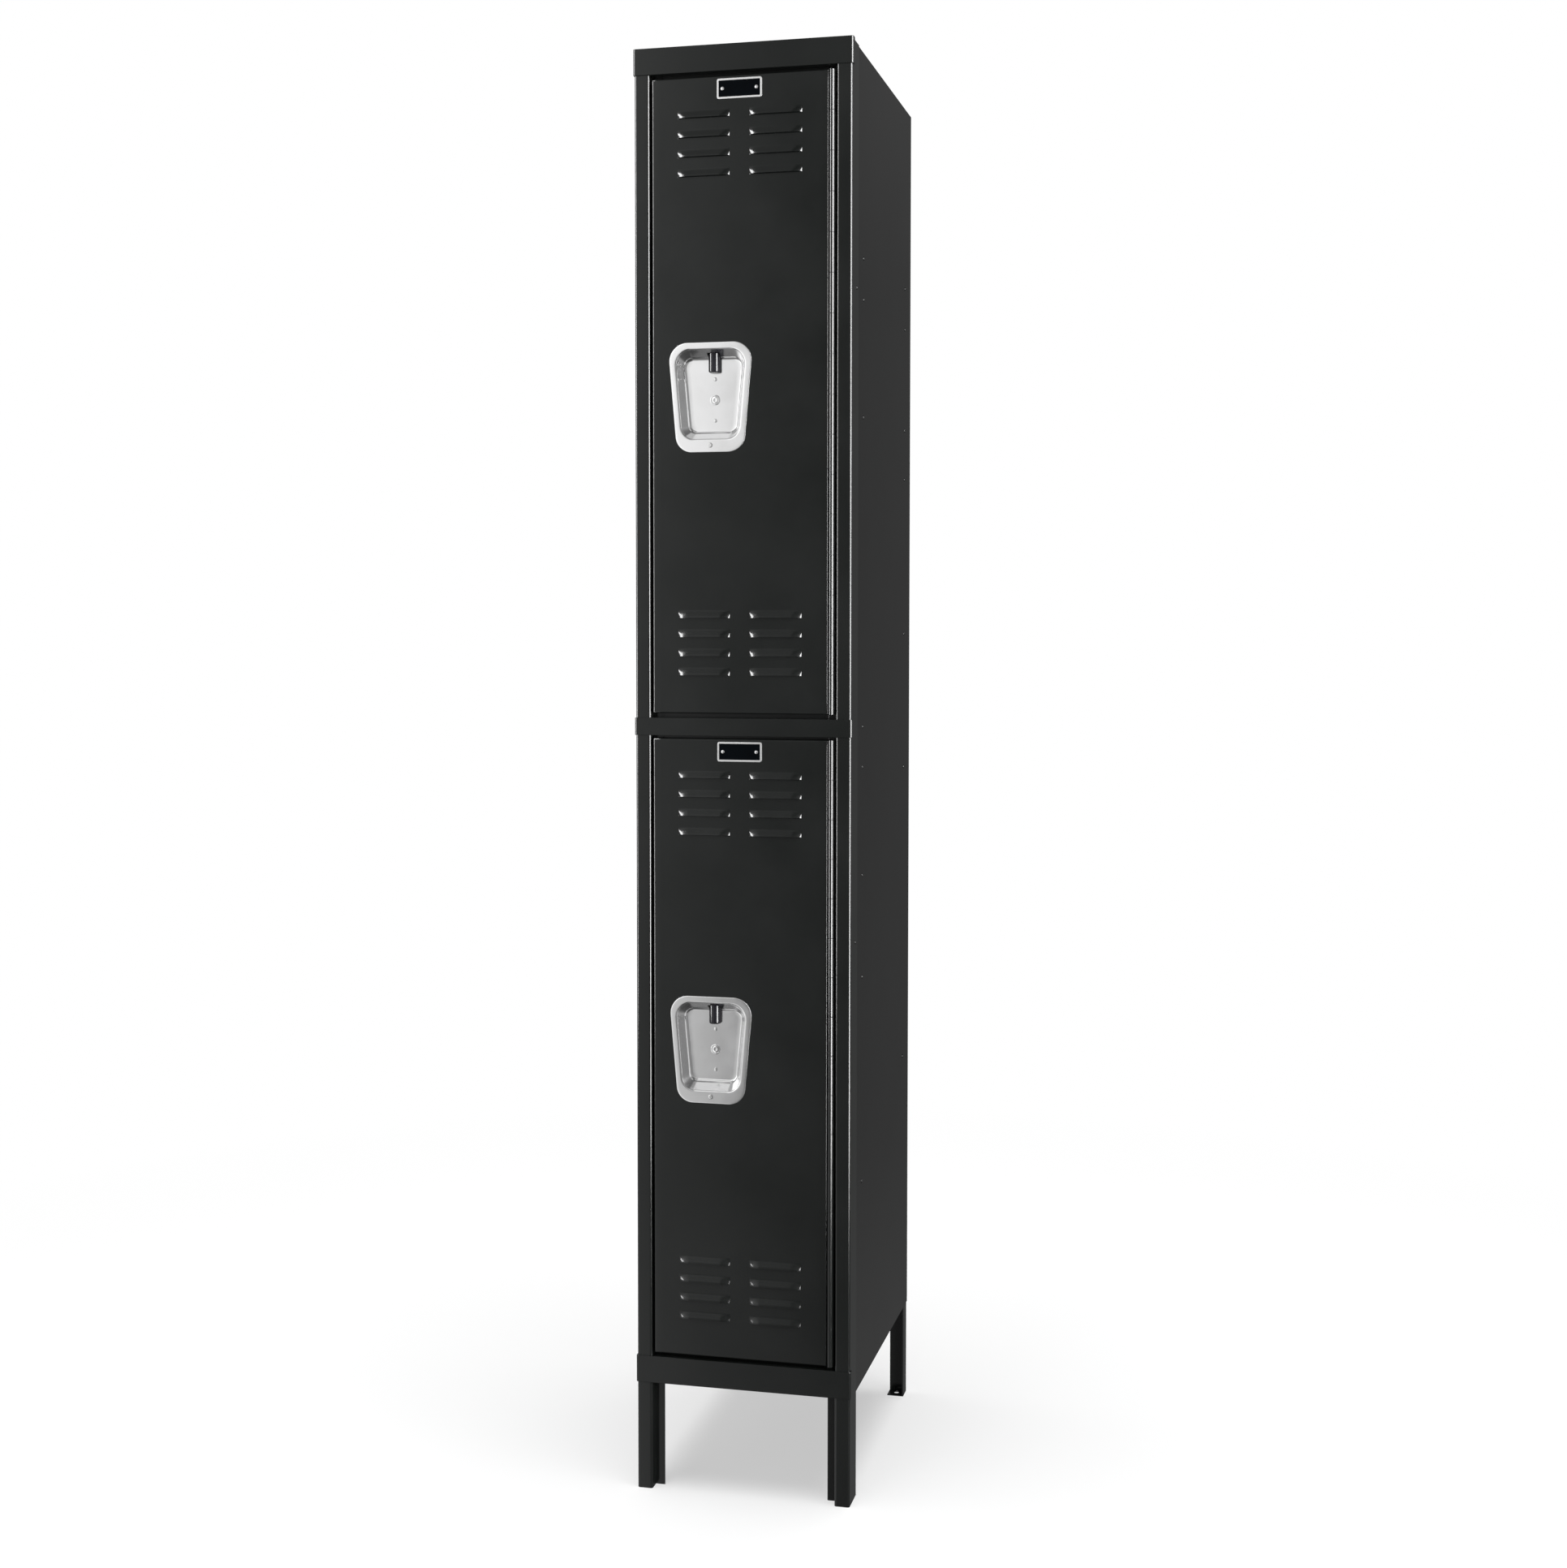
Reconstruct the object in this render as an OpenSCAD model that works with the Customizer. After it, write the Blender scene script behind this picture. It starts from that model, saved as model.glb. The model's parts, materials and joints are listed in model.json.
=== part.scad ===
// Double-tier sheet-metal locker cabinet on legs, with two hinged louvred doors.
// Millimetres. Origin: centre of the footprint on the floor. The doors face -Y, Z is up.

/* [Overall size] */
// Width over the front rails
cabinet_width = 304.8; // [228.6:0.1:457.2]
// Depth from the face of the rails to the back
cabinet_depth = 457.2; // [304.8:0.1:609.6]
// Height over the header rail, legs included
cabinet_height = 1981.2; // [1676.4:0.1:2133.6]

/* [Sheet metal] */
// Thickness of the front frame
frame_t = 1.5; // [1.2:0.1:2]
// Thickness of the body panels and shelves
body_t = 0.8; // [0.6:0.1:1.2]
// Thickness of the door sheet
door_t = 1.5; // [0.9:0.1:2]
// Outer radius of a bend in frame or door sheet
bend_r = 2.5; // [1.6:0.1:4]

/* [Front frame] */
// Width of an upright's face
upright_face = 21.5; // [18:0.5:30]
// Depth of an upright's outer return along the side
upright_side = 44; // [30:1:60]
// Depth of an upright's inner return beside the door
upright_inner = 19; // [16:0.5:25]
// Width of the strike flange behind the door's edge
strike_width = 13; // [8:0.5:20]
// How far the rails wrap round the uprights
rail_wrap = 10; // [6:1:20]
// Bottom edge of the header rail
header_z = 1945.6; // [1900:0.1:1970]
// Bottom edge of the middle rail
middle_z = 1052.8; // [1000:0.1:1100]
// Height of the middle rail
middle_h = 24.2; // [20:0.1:40]
// Bottom edge of the bottom rail
bottom_z = 150.6; // [100:0.1:200]
// Height of the bottom rail
bottom_h = 37.4; // [30:0.1:50]

/* [Doors] */
// Left edge of a door, on the latch side
door_left = -126.2; // [-130:0.1:-120]
// Right edge of a door, beside the hinge
door_right = 119.1; // [115:0.1:122]
// Height of a door
door_h = 856; // [800:0.5:900]
// Depth of a door's edge flanges
door_depth = 15.5; // [12:0.5:18]
// Bottom edge of the upper door
upper_door_z = 1083.3; // [1078:0.1:1090]
// Bottom edge of the lower door
lower_door_z = 193; // [188:0.1:200]
// Louvres in each column
louver_rows = 4; // [0:1:6]
// Length of a louvre
louver_length = 72; // [50:1:90]
// Height of a louvre's hood
louver_height = 9; // [6:0.5:12]
// How far a louvre's hood stands out
louver_out = 3.6; // [2:0.1:5]
// Distance between louvre rows
louver_pitch = 26; // [18:0.5:35]

/* [Hinges] */
// Centre of the hinge pins across the width
pin_x = 123.3; // [121:0.1:125]
// Radius of a hinge pin
pin_r = 2.35; // [1.5:0.05:3]
// Radius of the bore in a knuckle
knuckle_bore = 2.4; // [1.55:0.05:3.1]
// Outer radius of a knuckle
knuckle_r = 3.8; // [3:0.1:5]
// Knuckles along a door, counting both leaves
knuckle_count = 16; // [8:2:32]
// Gap between two knuckles
knuckle_gap = 0.4; // [0.2:0.1:1]
// Thickness of a hinge leaf
leaf_t = 1.5; // [1:0.1:2]

/* [Handle cups] */
// Centre of a cup across the width
cup_x = -44.5; // [-60:0.5:0]
// Depth of a cup's floor behind the door's face
cup_depth = 18.3; // [12:0.1:25]
// Thickness of the cup's sheet
cup_t = 1; // [0.8:0.1:1.5]
// Centre of the lift trigger and the lock hole across the width
trigger_x = -42.5; // [-50:0.5:-35]
// How far the trigger and the lock bar lift
lift = 10; // [6:0.5:12]

/* [Number plates] */
// Width of a number plate
plate_w = 62.5; // [50:0.5:80]
// Height of a number plate
plate_h = 27; // [20:0.5:35]
// Distance from a door's top edge to its plate's centre
plate_drop = 17.5; // [15:0.5:30]

/* [Hidden] */
$fn = 48;
eps = 0.01;
half_w = cabinet_width / 2;
half_d = cabinet_depth / 2;
// the uprights sit one sheet inside the wrapped rails
upright_x = half_w - frame_t;
face_y = -half_d + frame_t;
rail_y = -half_d;
inner_x = upright_x - upright_face;
strike_x = inner_x + frame_t - strike_width - frame_t;
strike_y = face_y + upright_inner;
upright_top = cabinet_height - frame_t;
// the body panels sit inside the uprights' outer returns
panel_x = upright_x - frame_t;
panel_front = face_y + 3;
panel_back = half_d;
panel_bottom = 143.5;
panel_top = upright_top;
back_flange = 15;
shelf_x = panel_x - body_t;
shelf_front = strike_y + 0.4;
shelf_back = panel_back - 2 * body_t;
shelf_flange = 20;
tier_z = middle_z + middle_h;
floor_z = bottom_z + bottom_h;
rail_half = inner_x - 0.4;
lip_half = strike_x - 0.4;
strike_lip = 12;
header_return = 44;

door_back = face_y + door_depth;
door_mid = (door_left + door_right) / 2;
latch_lip = 26;
hinge_lip = 15;
end_lip = 12;
door_zs = [upper_door_z, lower_door_z];

louver_col = 50;
louver_first = 54.6;
louver_last = 52;
hood_t = 1.2;
// radius of the hood's curve, from its height and how far it stands out
hood_r = (louver_height * louver_height + louver_out * louver_out) / (2 * louver_out);

knuckle_pitch = door_h / knuckle_count;
// the leaves start outside the sweep of the other leaf's knuckles
leaf_start = 4.3;
leaf_end = 15.3;
jog_y = 6;
frame_leaf_in = pin_x + 2.4;

// outlines of the cup: half width, corner radius and height of the top and bottom corners
cup_rim = [[57.4, 25, 74], [48.75, 23, -74]];
cup_mouth = [[47.5, 20, 64], [40.5, 18, -55.5]];
cup_floor = [[40.9, 12, 54], [33.9, 11, -46.3]];
cup_floor_y = face_y + cup_depth;
cup_back_y = cup_floor_y + cup_t;
cup_hole_gap = 0.4;
screw_drop = -64.5;
screw_r = 1.9;
screw_head = 3.4;
screw_cap = 0.9;
lock_hole = -2;
lock_hole_r = 6.2;
lock_rivet_step = 28;
lock_rivet_r = 1.6;
lock_rivet_head = 2.6;
stud_cap = 0.8;

trigger_w = 16.6;
trigger_bottom = 34.5;
trigger_top = 60.8;
trigger_front = face_y + 7.3;
trigger_back = cup_floor_y - 1.2;
stem_w = 8;
stem_low = 42;
stem_high = 54;
slot_gap = 0.5;

// lock bar: a channel that slides inside the door's latch-side flange
bar_left = -121;
bar_right = -106;
bar_front = face_y + 4.5;
bar_back = face_y + 11.5;
bar_t = 1.2;
bar_half = 345;
arm_t = 1.2;
arm_low = 40;
arm_high = 56;
arm_y = face_y + 9.7;
arm_turn_x = -96.2;
arm_back_y = cup_back_y + 1.3;
guide_half = 9;
guide_gap = 0.4;
guide_zs = [-290, -130, 130, 290];
hook_zs = [-322, 322];
hook_x = -114.6;
hook_t = 2.2;
hook_tip_y = face_y + 7.6;
hook_base_t = 2;
nose_top = 6;
clip_lift = 0.5;

plate_t = 0.8;
plate_corner = 3;
plate_rivet_x = 23.5;
plate_rivet_r = 1.5;
plate_rivet_head = 2.5;

rivet_r = 1.6;
rivet_head = 2.6;
rivet_head_t = 0.9;
rivet_gap = 0.05;
// rivets in the side panels: distance from the front face of the rails, then height
side_rivets_at = [
    [89, 1704], [89, 1648], [89, 1488], [89, 1064], [89, 1008], [89, 858], [89, 716], [89, 429],
    [410, 1712], [410, 1651], [410, 1499], [410, 1425], [410, 1191], [410, 988], [410, 541]
];
// rivets that join the uprights' returns to the side panels
upright_rivets_at = [[34, 1656], [34, 772]];

leg_w = 25.4;
leg_t = 1.5;
leg_top = 162;
foot_hole_r = 4;

coat_hook_r = 3;
coat_ball_r = 5;
coat_bend_r = 14;
coat_plate_t = 2;
coat_drop = 150;
coat_bolt_r = 2;
coat_bolt_head = 3.6;
coat_bolt_cap = 1.6;

powder = [0.16, 0.165, 0.165];
steel = [0.72, 0.73, 0.74];
zinc = [0.6, 0.61, 0.6];
plastic = [0.03, 0.03, 0.035];

// a box between two corners
module box(low, high) {
    translate(low) cube([high[0] - low[0], high[1] - low[1], high[2] - low[2]]);
}

// a cylinder along X, from x0 to x1
module rod_x(x0, x1, y, z, r) {
    translate([x0, y, z]) rotate([0, 90, 0]) cylinder(r = r, h = x1 - x0);
}

// a cylinder along Y, from y0 to y1
module rod_y(x, y0, y1, z, r) {
    translate([x, y0, z]) rotate([-90, 0, 0]) cylinder(r = r, h = y1 - y0);
}

// a rectangle whose two corners towards -Y are round
module front_rounded(x0, x1, y0, y1, r) {
    translate([x0 + r, y0]) square([x1 - x0 - 2 * r, y1 - y0]);
    translate([x0, y0 + r]) square([x1 - x0, y1 - y0 - r]);
    translate([x0 + r, y0 + r]) circle(r);
    translate([x1 - r, y0 + r]) circle(r);
}

// an outline with different half widths at its top and bottom corners, grown by g, drawn as X and Z
module cup_outline(shape, g) {
    hull() {
        for (c = shape) {
            inward = c[2] > 0 ? -c[1] : c[1];
            for (s = [-1, 1])
                translate([s * (c[0] - c[1]), c[2] + inward]) circle(c[1] + g, $fn = 40);
        }
    }
}

// the cup outline as a plate from y0 to y1, centred on a door's middle height
module cup_plate(shape, g, y0, y1) {
    translate([cup_x, y1, 0]) rotate([90, 0, 0]) linear_extrude(y1 - y0) cup_outline(shape, g);
}

// ---- front frame ----

// section of the right-hand upright: face, side return, inner return and strike flange
module upright_section() {
    difference() {
        front_rounded(inner_x, upright_x, face_y, face_y + upright_side, bend_r);
        front_rounded(inner_x + frame_t, panel_x, face_y + frame_t, face_y + upright_side + 1,
                      bend_r - frame_t);
        translate([inner_x - 1, strike_y])
            square([panel_x - inner_x + 1, upright_side]);
    }
    translate([strike_x, strike_y - frame_t]) square([inner_x + frame_t - strike_x, frame_t]);
}

module upright_right() {
    difference() {
        linear_extrude(upright_top) upright_section();
        for (p = upright_rivets_at)
            rod_x(panel_x - 1, upright_x + 1, rail_y + p[0], p[1], rivet_r + rivet_gap);
    }
}

module frame_upright_right() {
    color(powder) upright_right();
}

module frame_upright_left() {
    color(powder) mirror([1, 0, 0]) upright_right();
}

// the face of a rail and the two ends that wrap round the uprights
module rail_band(z0, z1) {
    translate([0, 0, z0]) linear_extrude(z1 - z0) difference() {
        front_rounded(-half_w, half_w, rail_y, rail_y + rail_wrap, bend_r);
        front_rounded(-upright_x, upright_x, face_y, rail_y + rail_wrap + 1, bend_r - frame_t);
    }
}

// a rail's return over or under a door, narrowed where it passes between the strike flanges
module rail_return(z0) {
    box([-rail_half, face_y - eps, z0], [rail_half, strike_y - frame_t - 0.4, z0 + frame_t]);
    box([-lip_half, face_y - eps, z0], [lip_half, strike_y, z0 + frame_t]);
}

// the strike lip behind a door's top or bottom edge
module rail_lip(z0, z1) {
    box([-lip_half, strike_y - frame_t, z0], [lip_half, strike_y, z1]);
}

module header_rail() {
    color(powder) union() {
        rail_band(header_z, cabinet_height);
        box([-half_w + bend_r, rail_y + bend_r, upright_top],
            [half_w - bend_r, rail_y + header_return, cabinet_height]);
        box([-upright_x, face_y - eps, upright_top],
            [upright_x, rail_y + rail_wrap, cabinet_height]);
        rail_return(header_z);
        rail_lip(header_z - strike_lip, header_z + frame_t);
    }
}

module middle_rail() {
    color(powder) union() {
        rail_band(middle_z, tier_z);
        rail_return(middle_z);
        rail_return(tier_z - frame_t);
        rail_lip(middle_z - strike_lip, middle_z + frame_t);
        rail_lip(tier_z - frame_t, tier_z + strike_lip);
    }
}

module bottom_rail() {
    color(powder) union() {
        rail_band(bottom_z, floor_z);
        rail_return(bottom_z);
        rail_return(floor_z - frame_t);
        rail_lip(floor_z - frame_t, floor_z + strike_lip);
    }
}

// ---- body ----

// right-hand side panel with its flange at the back
module side_sheet() {
    difference() {
        union() {
            box([shelf_x, panel_front, panel_bottom], [panel_x, panel_back - body_t, panel_top]);
            box([panel_x - back_flange, panel_back - 2 * body_t, panel_bottom],
                [panel_x, panel_back - body_t, panel_top]);
        }
        for (p = concat(side_rivets_at, upright_rivets_at))
            rod_x(shelf_x - 1, panel_x + 1, rail_y + p[0], p[1], rivet_r + rivet_gap);
    }
}

module side_panel_right() {
    color(powder) side_sheet();
}

module side_panel_left() {
    color(powder) mirror([1, 0, 0]) side_sheet();
}

module back_panel() {
    color(powder)
        box([-panel_x, panel_back - body_t, panel_bottom], [panel_x, panel_back, panel_top]);
}

// a shelf with its surface at z and its four edges turned down
module pan(z, y0) {
    x = shelf_x - 0.1;
    y1 = shelf_back - leg_t - 0.1;
    difference() {
        box([-x, y0, z - shelf_flange], [x, y1, z]);
        box([-x + body_t, y0 + body_t, z - shelf_flange - 1], [x - body_t, y1 - body_t, z - body_t]);
    }
}

module top_panel() {
    color(powder) difference() {
        pan(panel_top, shelf_front);
        coat_bolt_holes(panel_top);
    }
}

module tier_shelf() {
    color(powder) difference() {
        pan(tier_z, shelf_front);
        coat_bolt_holes(tier_z);
    }
}

module bottom_shelf() {
    color(powder) pan(floor_z, shelf_front);
}

// angle leg inside the rear corner, with a foot tab and its anchor hole
module rear_leg() {
    x1 = shelf_x;
    y1 = shelf_back;
    difference() {
        union() {
            box([x1 - leg_t, y1 - leg_w, 0], [x1, y1, leg_top]);
            box([x1 - leg_w, y1 - leg_t, 0], [x1, y1, leg_top]);
            box([x1 - leg_w, y1 - leg_w, 0], [x1, y1, leg_t]);
        }
        translate([x1 - leg_w / 2, y1 - leg_w / 2, -1]) cylinder(r = foot_hole_r, h = leg_t + 2);
    }
}

module rear_leg_right() {
    color(powder) rear_leg();
}

module rear_leg_left() {
    color(powder) mirror([1, 0, 0]) rear_leg();
}

// a rivet through a sheet whose outer face is at x1
module side_rivet(x0, x1, p) {
    rod_x(x0, x1 + rivet_head_t / 2, rail_y + p[0], p[1], rivet_r);
    rod_x(x1, x1 + rivet_head_t, rail_y + p[0], p[1], rivet_head);
}

module side_rivets() {
    color(powder) for (s = [0, 1]) mirror([s, 0, 0]) {
        for (p = side_rivets_at) side_rivet(shelf_x, panel_x, p);
        for (p = upright_rivets_at) side_rivet(shelf_x, upright_x, p);
    }
}

// ---- coat hooks ----

// a round bar that turns up from horizontal and ends in a ball, drawn towards +X
module coat_prong(reach) {
    rotate([0, 90, 0]) cylinder(r = coat_hook_r, h = reach);
    translate([reach, 0, coat_bend_r]) rotate([90, 0, 0]) rotate([0, 0, -90])
        rotate_extrude(angle = 90) translate([coat_bend_r, 0]) circle(coat_hook_r);
    translate([reach + coat_bend_r, 0, coat_bend_r]) cylinder(r = coat_hook_r, h = 5);
    translate([reach + coat_bend_r, 0, coat_bend_r + 7]) sphere(coat_ball_r);
}

// holes for the two bolts of a ceiling hook
module coat_bolt_holes(z) {
    for (s = [-1, 1])
        translate([s * 13, 0, z - shelf_flange]) cylinder(r = coat_bolt_r + rivet_gap, h = 30);
}

// double hook under a sheet whose lower face is at z
module ceiling_hook(z) {
    difference() {
        translate([0, 0, z - coat_plate_t]) box([-20, -9, 0], [20, 9, coat_plate_t]);
        coat_bolt_holes(z);
    }
    translate([0, 0, z - 32]) cylinder(r = coat_hook_r, h = 31);
    for (a = [90, 270]) translate([0, 0, z - 32]) rotate([0, 0, a]) coat_prong(12);
}

module ceiling_hooks() {
    color(zinc) for (z = [panel_top - body_t, tier_z - body_t]) ceiling_hook(z);
}

// single hook on a wall, drawn on the left wall and pointing towards +X
module wall_hook(z) {
    translate([-shelf_x, 0, z]) {
        difference() {
            box([0, -8, -26], [coat_plate_t, 8, 22]);
            for (h = [-20, 16]) rod_x(-1, 5, 0, h, coat_bolt_r + rivet_gap);
        }
        coat_prong(20);
    }
}

module wall_hooks() {
    color(zinc) for (z = [panel_top - coat_drop, tier_z - coat_drop], s = [0, 1])
        mirror([s, 0, 0]) wall_hook(z);
}

// bolts that hold the ceiling hooks up to their sheet and the wall hooks to the sides
module coat_hook_bolts() {
    color(zinc) {
        for (z = [panel_top, tier_z], s = [-1, 1]) translate([s * 13, 0, z]) {
            translate([0, 0, -body_t - coat_plate_t - coat_bolt_cap / 2])
                cylinder(r = coat_bolt_r, h = body_t + coat_plate_t + coat_bolt_cap / 2);
            translate([0, 0, -body_t - coat_plate_t - coat_bolt_cap])
                cylinder(r = coat_bolt_head, h = coat_bolt_cap);
        }
        for (z = [panel_top - coat_drop, tier_z - coat_drop], s = [0, 1], h = [-20, 16])
            mirror([s, 0, 0]) {
                rod_x(-shelf_x, -shelf_x + coat_plate_t + coat_bolt_cap / 2, 0, z + h, coat_bolt_r);
                rod_x(-shelf_x + coat_plate_t, -shelf_x + coat_plate_t + coat_bolt_cap, 0, z + h,
                      coat_bolt_head);
            }
    }
}

// ---- hinges ----

// knuckles of one leaf: first is 0 for the door's leaf and 1 for the frame's
module knuckles(z0, first, wing_x0, wing_x1) {
    for (i = [first : 2 : knuckle_count - 1])
        translate([pin_x, face_y, z0 + i * knuckle_pitch + knuckle_gap / 2])
            difference() {
                union() {
                    cylinder(r = knuckle_r, h = knuckle_pitch - knuckle_gap);
                    box([wing_x0, 0, 0],
                        [wing_x1, leaf_start + eps, knuckle_pitch - knuckle_gap]);
                }
                translate([0, 0, -1]) cylinder(r = knuckle_bore, h = knuckle_pitch + 2);
            }
}

// the leaf fixed to the door's edge flange
module door_leaf(z0) {
    wing = door_right - pin_x;
    knuckles(z0, 0, wing, wing + leaf_t);
    box([door_right, face_y + leaf_start, z0 + 1],
        [door_right + leaf_t, face_y + leaf_end - 1, z0 + door_h - 1]);
}

// the leaf fixed to the upright's inner return, with a jog out to the knuckles
module frame_leaf(z0) {
    knuckles(z0, 1, 2.4, 2.4 + leaf_t);
    translate([0, 0, z0 + 1]) linear_extrude(door_h - 2) polygon([
        [frame_leaf_in, face_y + leaf_start], [frame_leaf_in + leaf_t, face_y + leaf_start],
        [inner_x, face_y + jog_y], [inner_x, face_y + leaf_end],
        [inner_x - leaf_t, face_y + leaf_end], [inner_x - leaf_t, face_y + jog_y + 0.6]
    ]);
}

module hinge_pin(z0) {
    translate([pin_x, face_y, z0]) cylinder(r = pin_r, h = door_h);
}

module hinge_door_leaf_upper() { color(powder) door_leaf(upper_door_z); }
module hinge_door_leaf_lower() { color(powder) door_leaf(lower_door_z); }
module hinge_frame_leaf_upper() { color(powder) frame_leaf(upper_door_z); }
module hinge_frame_leaf_lower() { color(powder) frame_leaf(lower_door_z); }
module hinge_pin_upper() { color(powder) hinge_pin(upper_door_z); }
module hinge_pin_lower() { color(powder) hinge_pin(lower_door_z); }

// ---- doors ----

// heights of the louvres' lower edges above a door's bottom edge
function louver_zs() = [
    for (i = [0 : louver_rows - 1]) door_h - louver_first - i * louver_pitch,
    for (i = [0 : louver_rows - 1]) louver_last + i * louver_pitch
];

// half of a lying cylinder, used for the outside and the inside of a louvre's hood
module hood(length, r) {
    intersection() {
        rod_x(-length / 2, length / 2, face_y + hood_r - louver_out, 0, r);
        box([-length / 2 - 1, face_y - louver_out - 1, 0],
            [length / 2 + 1, face_y + door_t + 0.5, louver_height + 2]);
    }
}

module louvers(length, r) {
    for (z = louver_zs(), s = [-1, 1])
        translate([door_mid + s * louver_col, 0, z]) hood(length, r);
}

// a pressed door pan: outer sheet, edge flanges, inner lips, louvres and cut-outs
module door_pan() {
    mid = door_h / 2;
    difference() {
        union() {
            linear_extrude(door_h) front_rounded(door_left, door_right, face_y, door_back, bend_r);
            intersection() {
                louvers(louver_length, hood_r);
                box([door_left, face_y - louver_out - 1, 0], [door_right, face_y + 0.5, door_h]);
            }
        }
        box([door_left + door_t, face_y + door_t, door_t],
            [door_right - door_t, door_back - door_t, door_h - door_t]);
        box([door_left + latch_lip, door_back - door_t - 1, end_lip],
            [door_right - hinge_lip, door_back + 1, door_h - end_lip]);
        louvers(louver_length - 2 * hood_t, hood_r - hood_t);
        translate([0, 0, mid]) cup_plate(cup_mouth, cup_t + cup_hole_gap, face_y - 1, face_y + 3);
        translate([0, 0, mid]) rod_y(cup_x, face_y - 1, face_y + 3, screw_drop, screw_r + rivet_gap);
        for (z = hook_zs)
            box([hook_x - 2, door_back - door_t - 1, mid + z - 15],
                [hook_x + hook_t + 2, door_back + 1, mid + z + 15]);
        for (s = [-1, 1])
            rod_y(door_mid + s * plate_rivet_x, face_y - 1, face_y + 3, door_h - plate_drop,
                  plate_rivet_r + rivet_gap);
    }
}

module door_panel_upper() { color(powder) translate([0, 0, upper_door_z]) door_pan(); }
module door_panel_lower() { color(powder) translate([0, 0, lower_door_z]) door_pan(); }

// ---- handle cups ----

// a drafted tub between the mouth and the floor outlines, grown by g
module tub(g, y0, y1) {
    hull() {
        cup_plate(cup_mouth, g, y0, y0 + eps);
        cup_plate(cup_floor, g, y1 - eps, y1);
    }
}

module cup() {
    difference() {
        union() {
            cup_plate(cup_rim, 0, face_y - cup_t, face_y);
            tub(cup_t, face_y - cup_t, cup_back_y);
        }
        tub(0, face_y - cup_t - eps, cup_floor_y);
        // notch that the trigger rises through
        box([trigger_x - trigger_w / 2 - slot_gap, trigger_front - slot_gap, stem_high - 4],
            [trigger_x + trigger_w / 2 + slot_gap, cup_back_y + 1, cup_rim[0][2]]);
        // slot in the floor for the trigger's stem
        box([trigger_x - stem_w / 2 - slot_gap, cup_floor_y - 1, stem_low - slot_gap],
            [trigger_x + stem_w / 2 + slot_gap, cup_back_y + 1, stem_high]);
        rod_y(trigger_x, cup_floor_y - 1, cup_back_y + 1, lock_hole, lock_hole_r + rivet_gap);
        for (s = [-1, 1])
            rod_y(trigger_x, cup_floor_y - 1, cup_back_y + 1, lock_hole + s * lock_rivet_step,
                  lock_rivet_r + rivet_gap);
        rod_y(cup_x, face_y - cup_t - 1, face_y + 1, screw_drop, screw_r + rivet_gap);
    }
}

module cup_screw() {
    rod_y(cup_x, face_y - cup_t - screw_cap, face_y - cup_t, screw_drop, screw_head);
    rod_y(cup_x, face_y - cup_t - screw_cap / 2, face_y + door_t + 4, screw_drop, screw_r);
}

// plug in the lock hole, with a dished cap on the cup's floor
module lock_plug() {
    rod_y(trigger_x, cup_floor_y - stud_cap, cup_floor_y, lock_hole, lock_hole_r + 0.9);
    rod_y(trigger_x, cup_floor_y - stud_cap / 2, cup_back_y, lock_hole, lock_hole_r);
}

module lock_rivets() {
    for (s = [-1, 1]) {
        z = lock_hole + s * lock_rivet_step;
        rod_y(trigger_x, cup_floor_y - stud_cap, cup_floor_y, z, lock_rivet_head);
        rod_y(trigger_x, cup_floor_y - stud_cap / 2, cup_back_y, z, lock_rivet_r);
    }
}

// ---- number plates ----

module number_plate() {
    translate([door_mid, face_y, door_h - plate_drop]) difference() {
        rotate([90, 0, 0]) linear_extrude(plate_t) union() {
            square([plate_w - 2 * plate_corner, plate_h], center = true);
            square([plate_w, plate_h - 2 * plate_corner], center = true);
            for (x = [-1, 1], z = [-1, 1])
                translate([x * (plate_w / 2 - plate_corner), z * (plate_h / 2 - plate_corner)])
                    circle(plate_corner);
        }
        for (s = [-1, 1]) rod_y(s * plate_rivet_x, -plate_t - 1, 1, 0, plate_rivet_r + rivet_gap);
    }
}

module plate_rivets() {
    for (s = [-1, 1]) translate([door_mid + s * plate_rivet_x, face_y, door_h - plate_drop]) {
        rod_y(0, -plate_t - stud_cap, -plate_t, 0, plate_rivet_head);
        rod_y(0, -plate_t - stud_cap / 2, door_t + stud_cap / 2, 0, plate_rivet_r);
        rod_y(0, door_t, door_t + stud_cap, 0, plate_rivet_head);
    }
}

// ---- latch ----

// one channel with a cranked arm that reaches behind the cup to the trigger
module lock_bar() {
    difference() {
        box([bar_left, bar_front, -bar_half], [bar_right, bar_back, bar_half]);
        box([bar_left + bar_t, bar_front + bar_t, -bar_half - 1],
            [bar_right - bar_t, bar_back + 1, bar_half + 1]);
    }
    box([bar_right - bar_t, arm_y, arm_low], [arm_turn_x + arm_t, arm_y + arm_t, arm_high]);
    box([arm_turn_x, arm_y, arm_low], [arm_turn_x + arm_t, arm_back_y + arm_t, arm_high]);
    box([arm_turn_x, arm_back_y, arm_low],
        [trigger_x + trigger_w / 2, arm_back_y + arm_t, arm_high]);
}

// grip with a half-round front, and the stem that joins it to the bar's arm
module lift_trigger() {
    grip_r = 4;
    box([trigger_x - trigger_w / 2, trigger_front + grip_r, trigger_bottom],
        [trigger_x + trigger_w / 2, trigger_back, trigger_top]);
    translate([trigger_x, trigger_front + grip_r, trigger_bottom])
        cylinder(r = grip_r, h = trigger_top - trigger_bottom);
    box([trigger_x - stem_w / 2, trigger_back - eps, stem_low],
        [trigger_x + stem_w / 2, arm_back_y, stem_high]);
}

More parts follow.
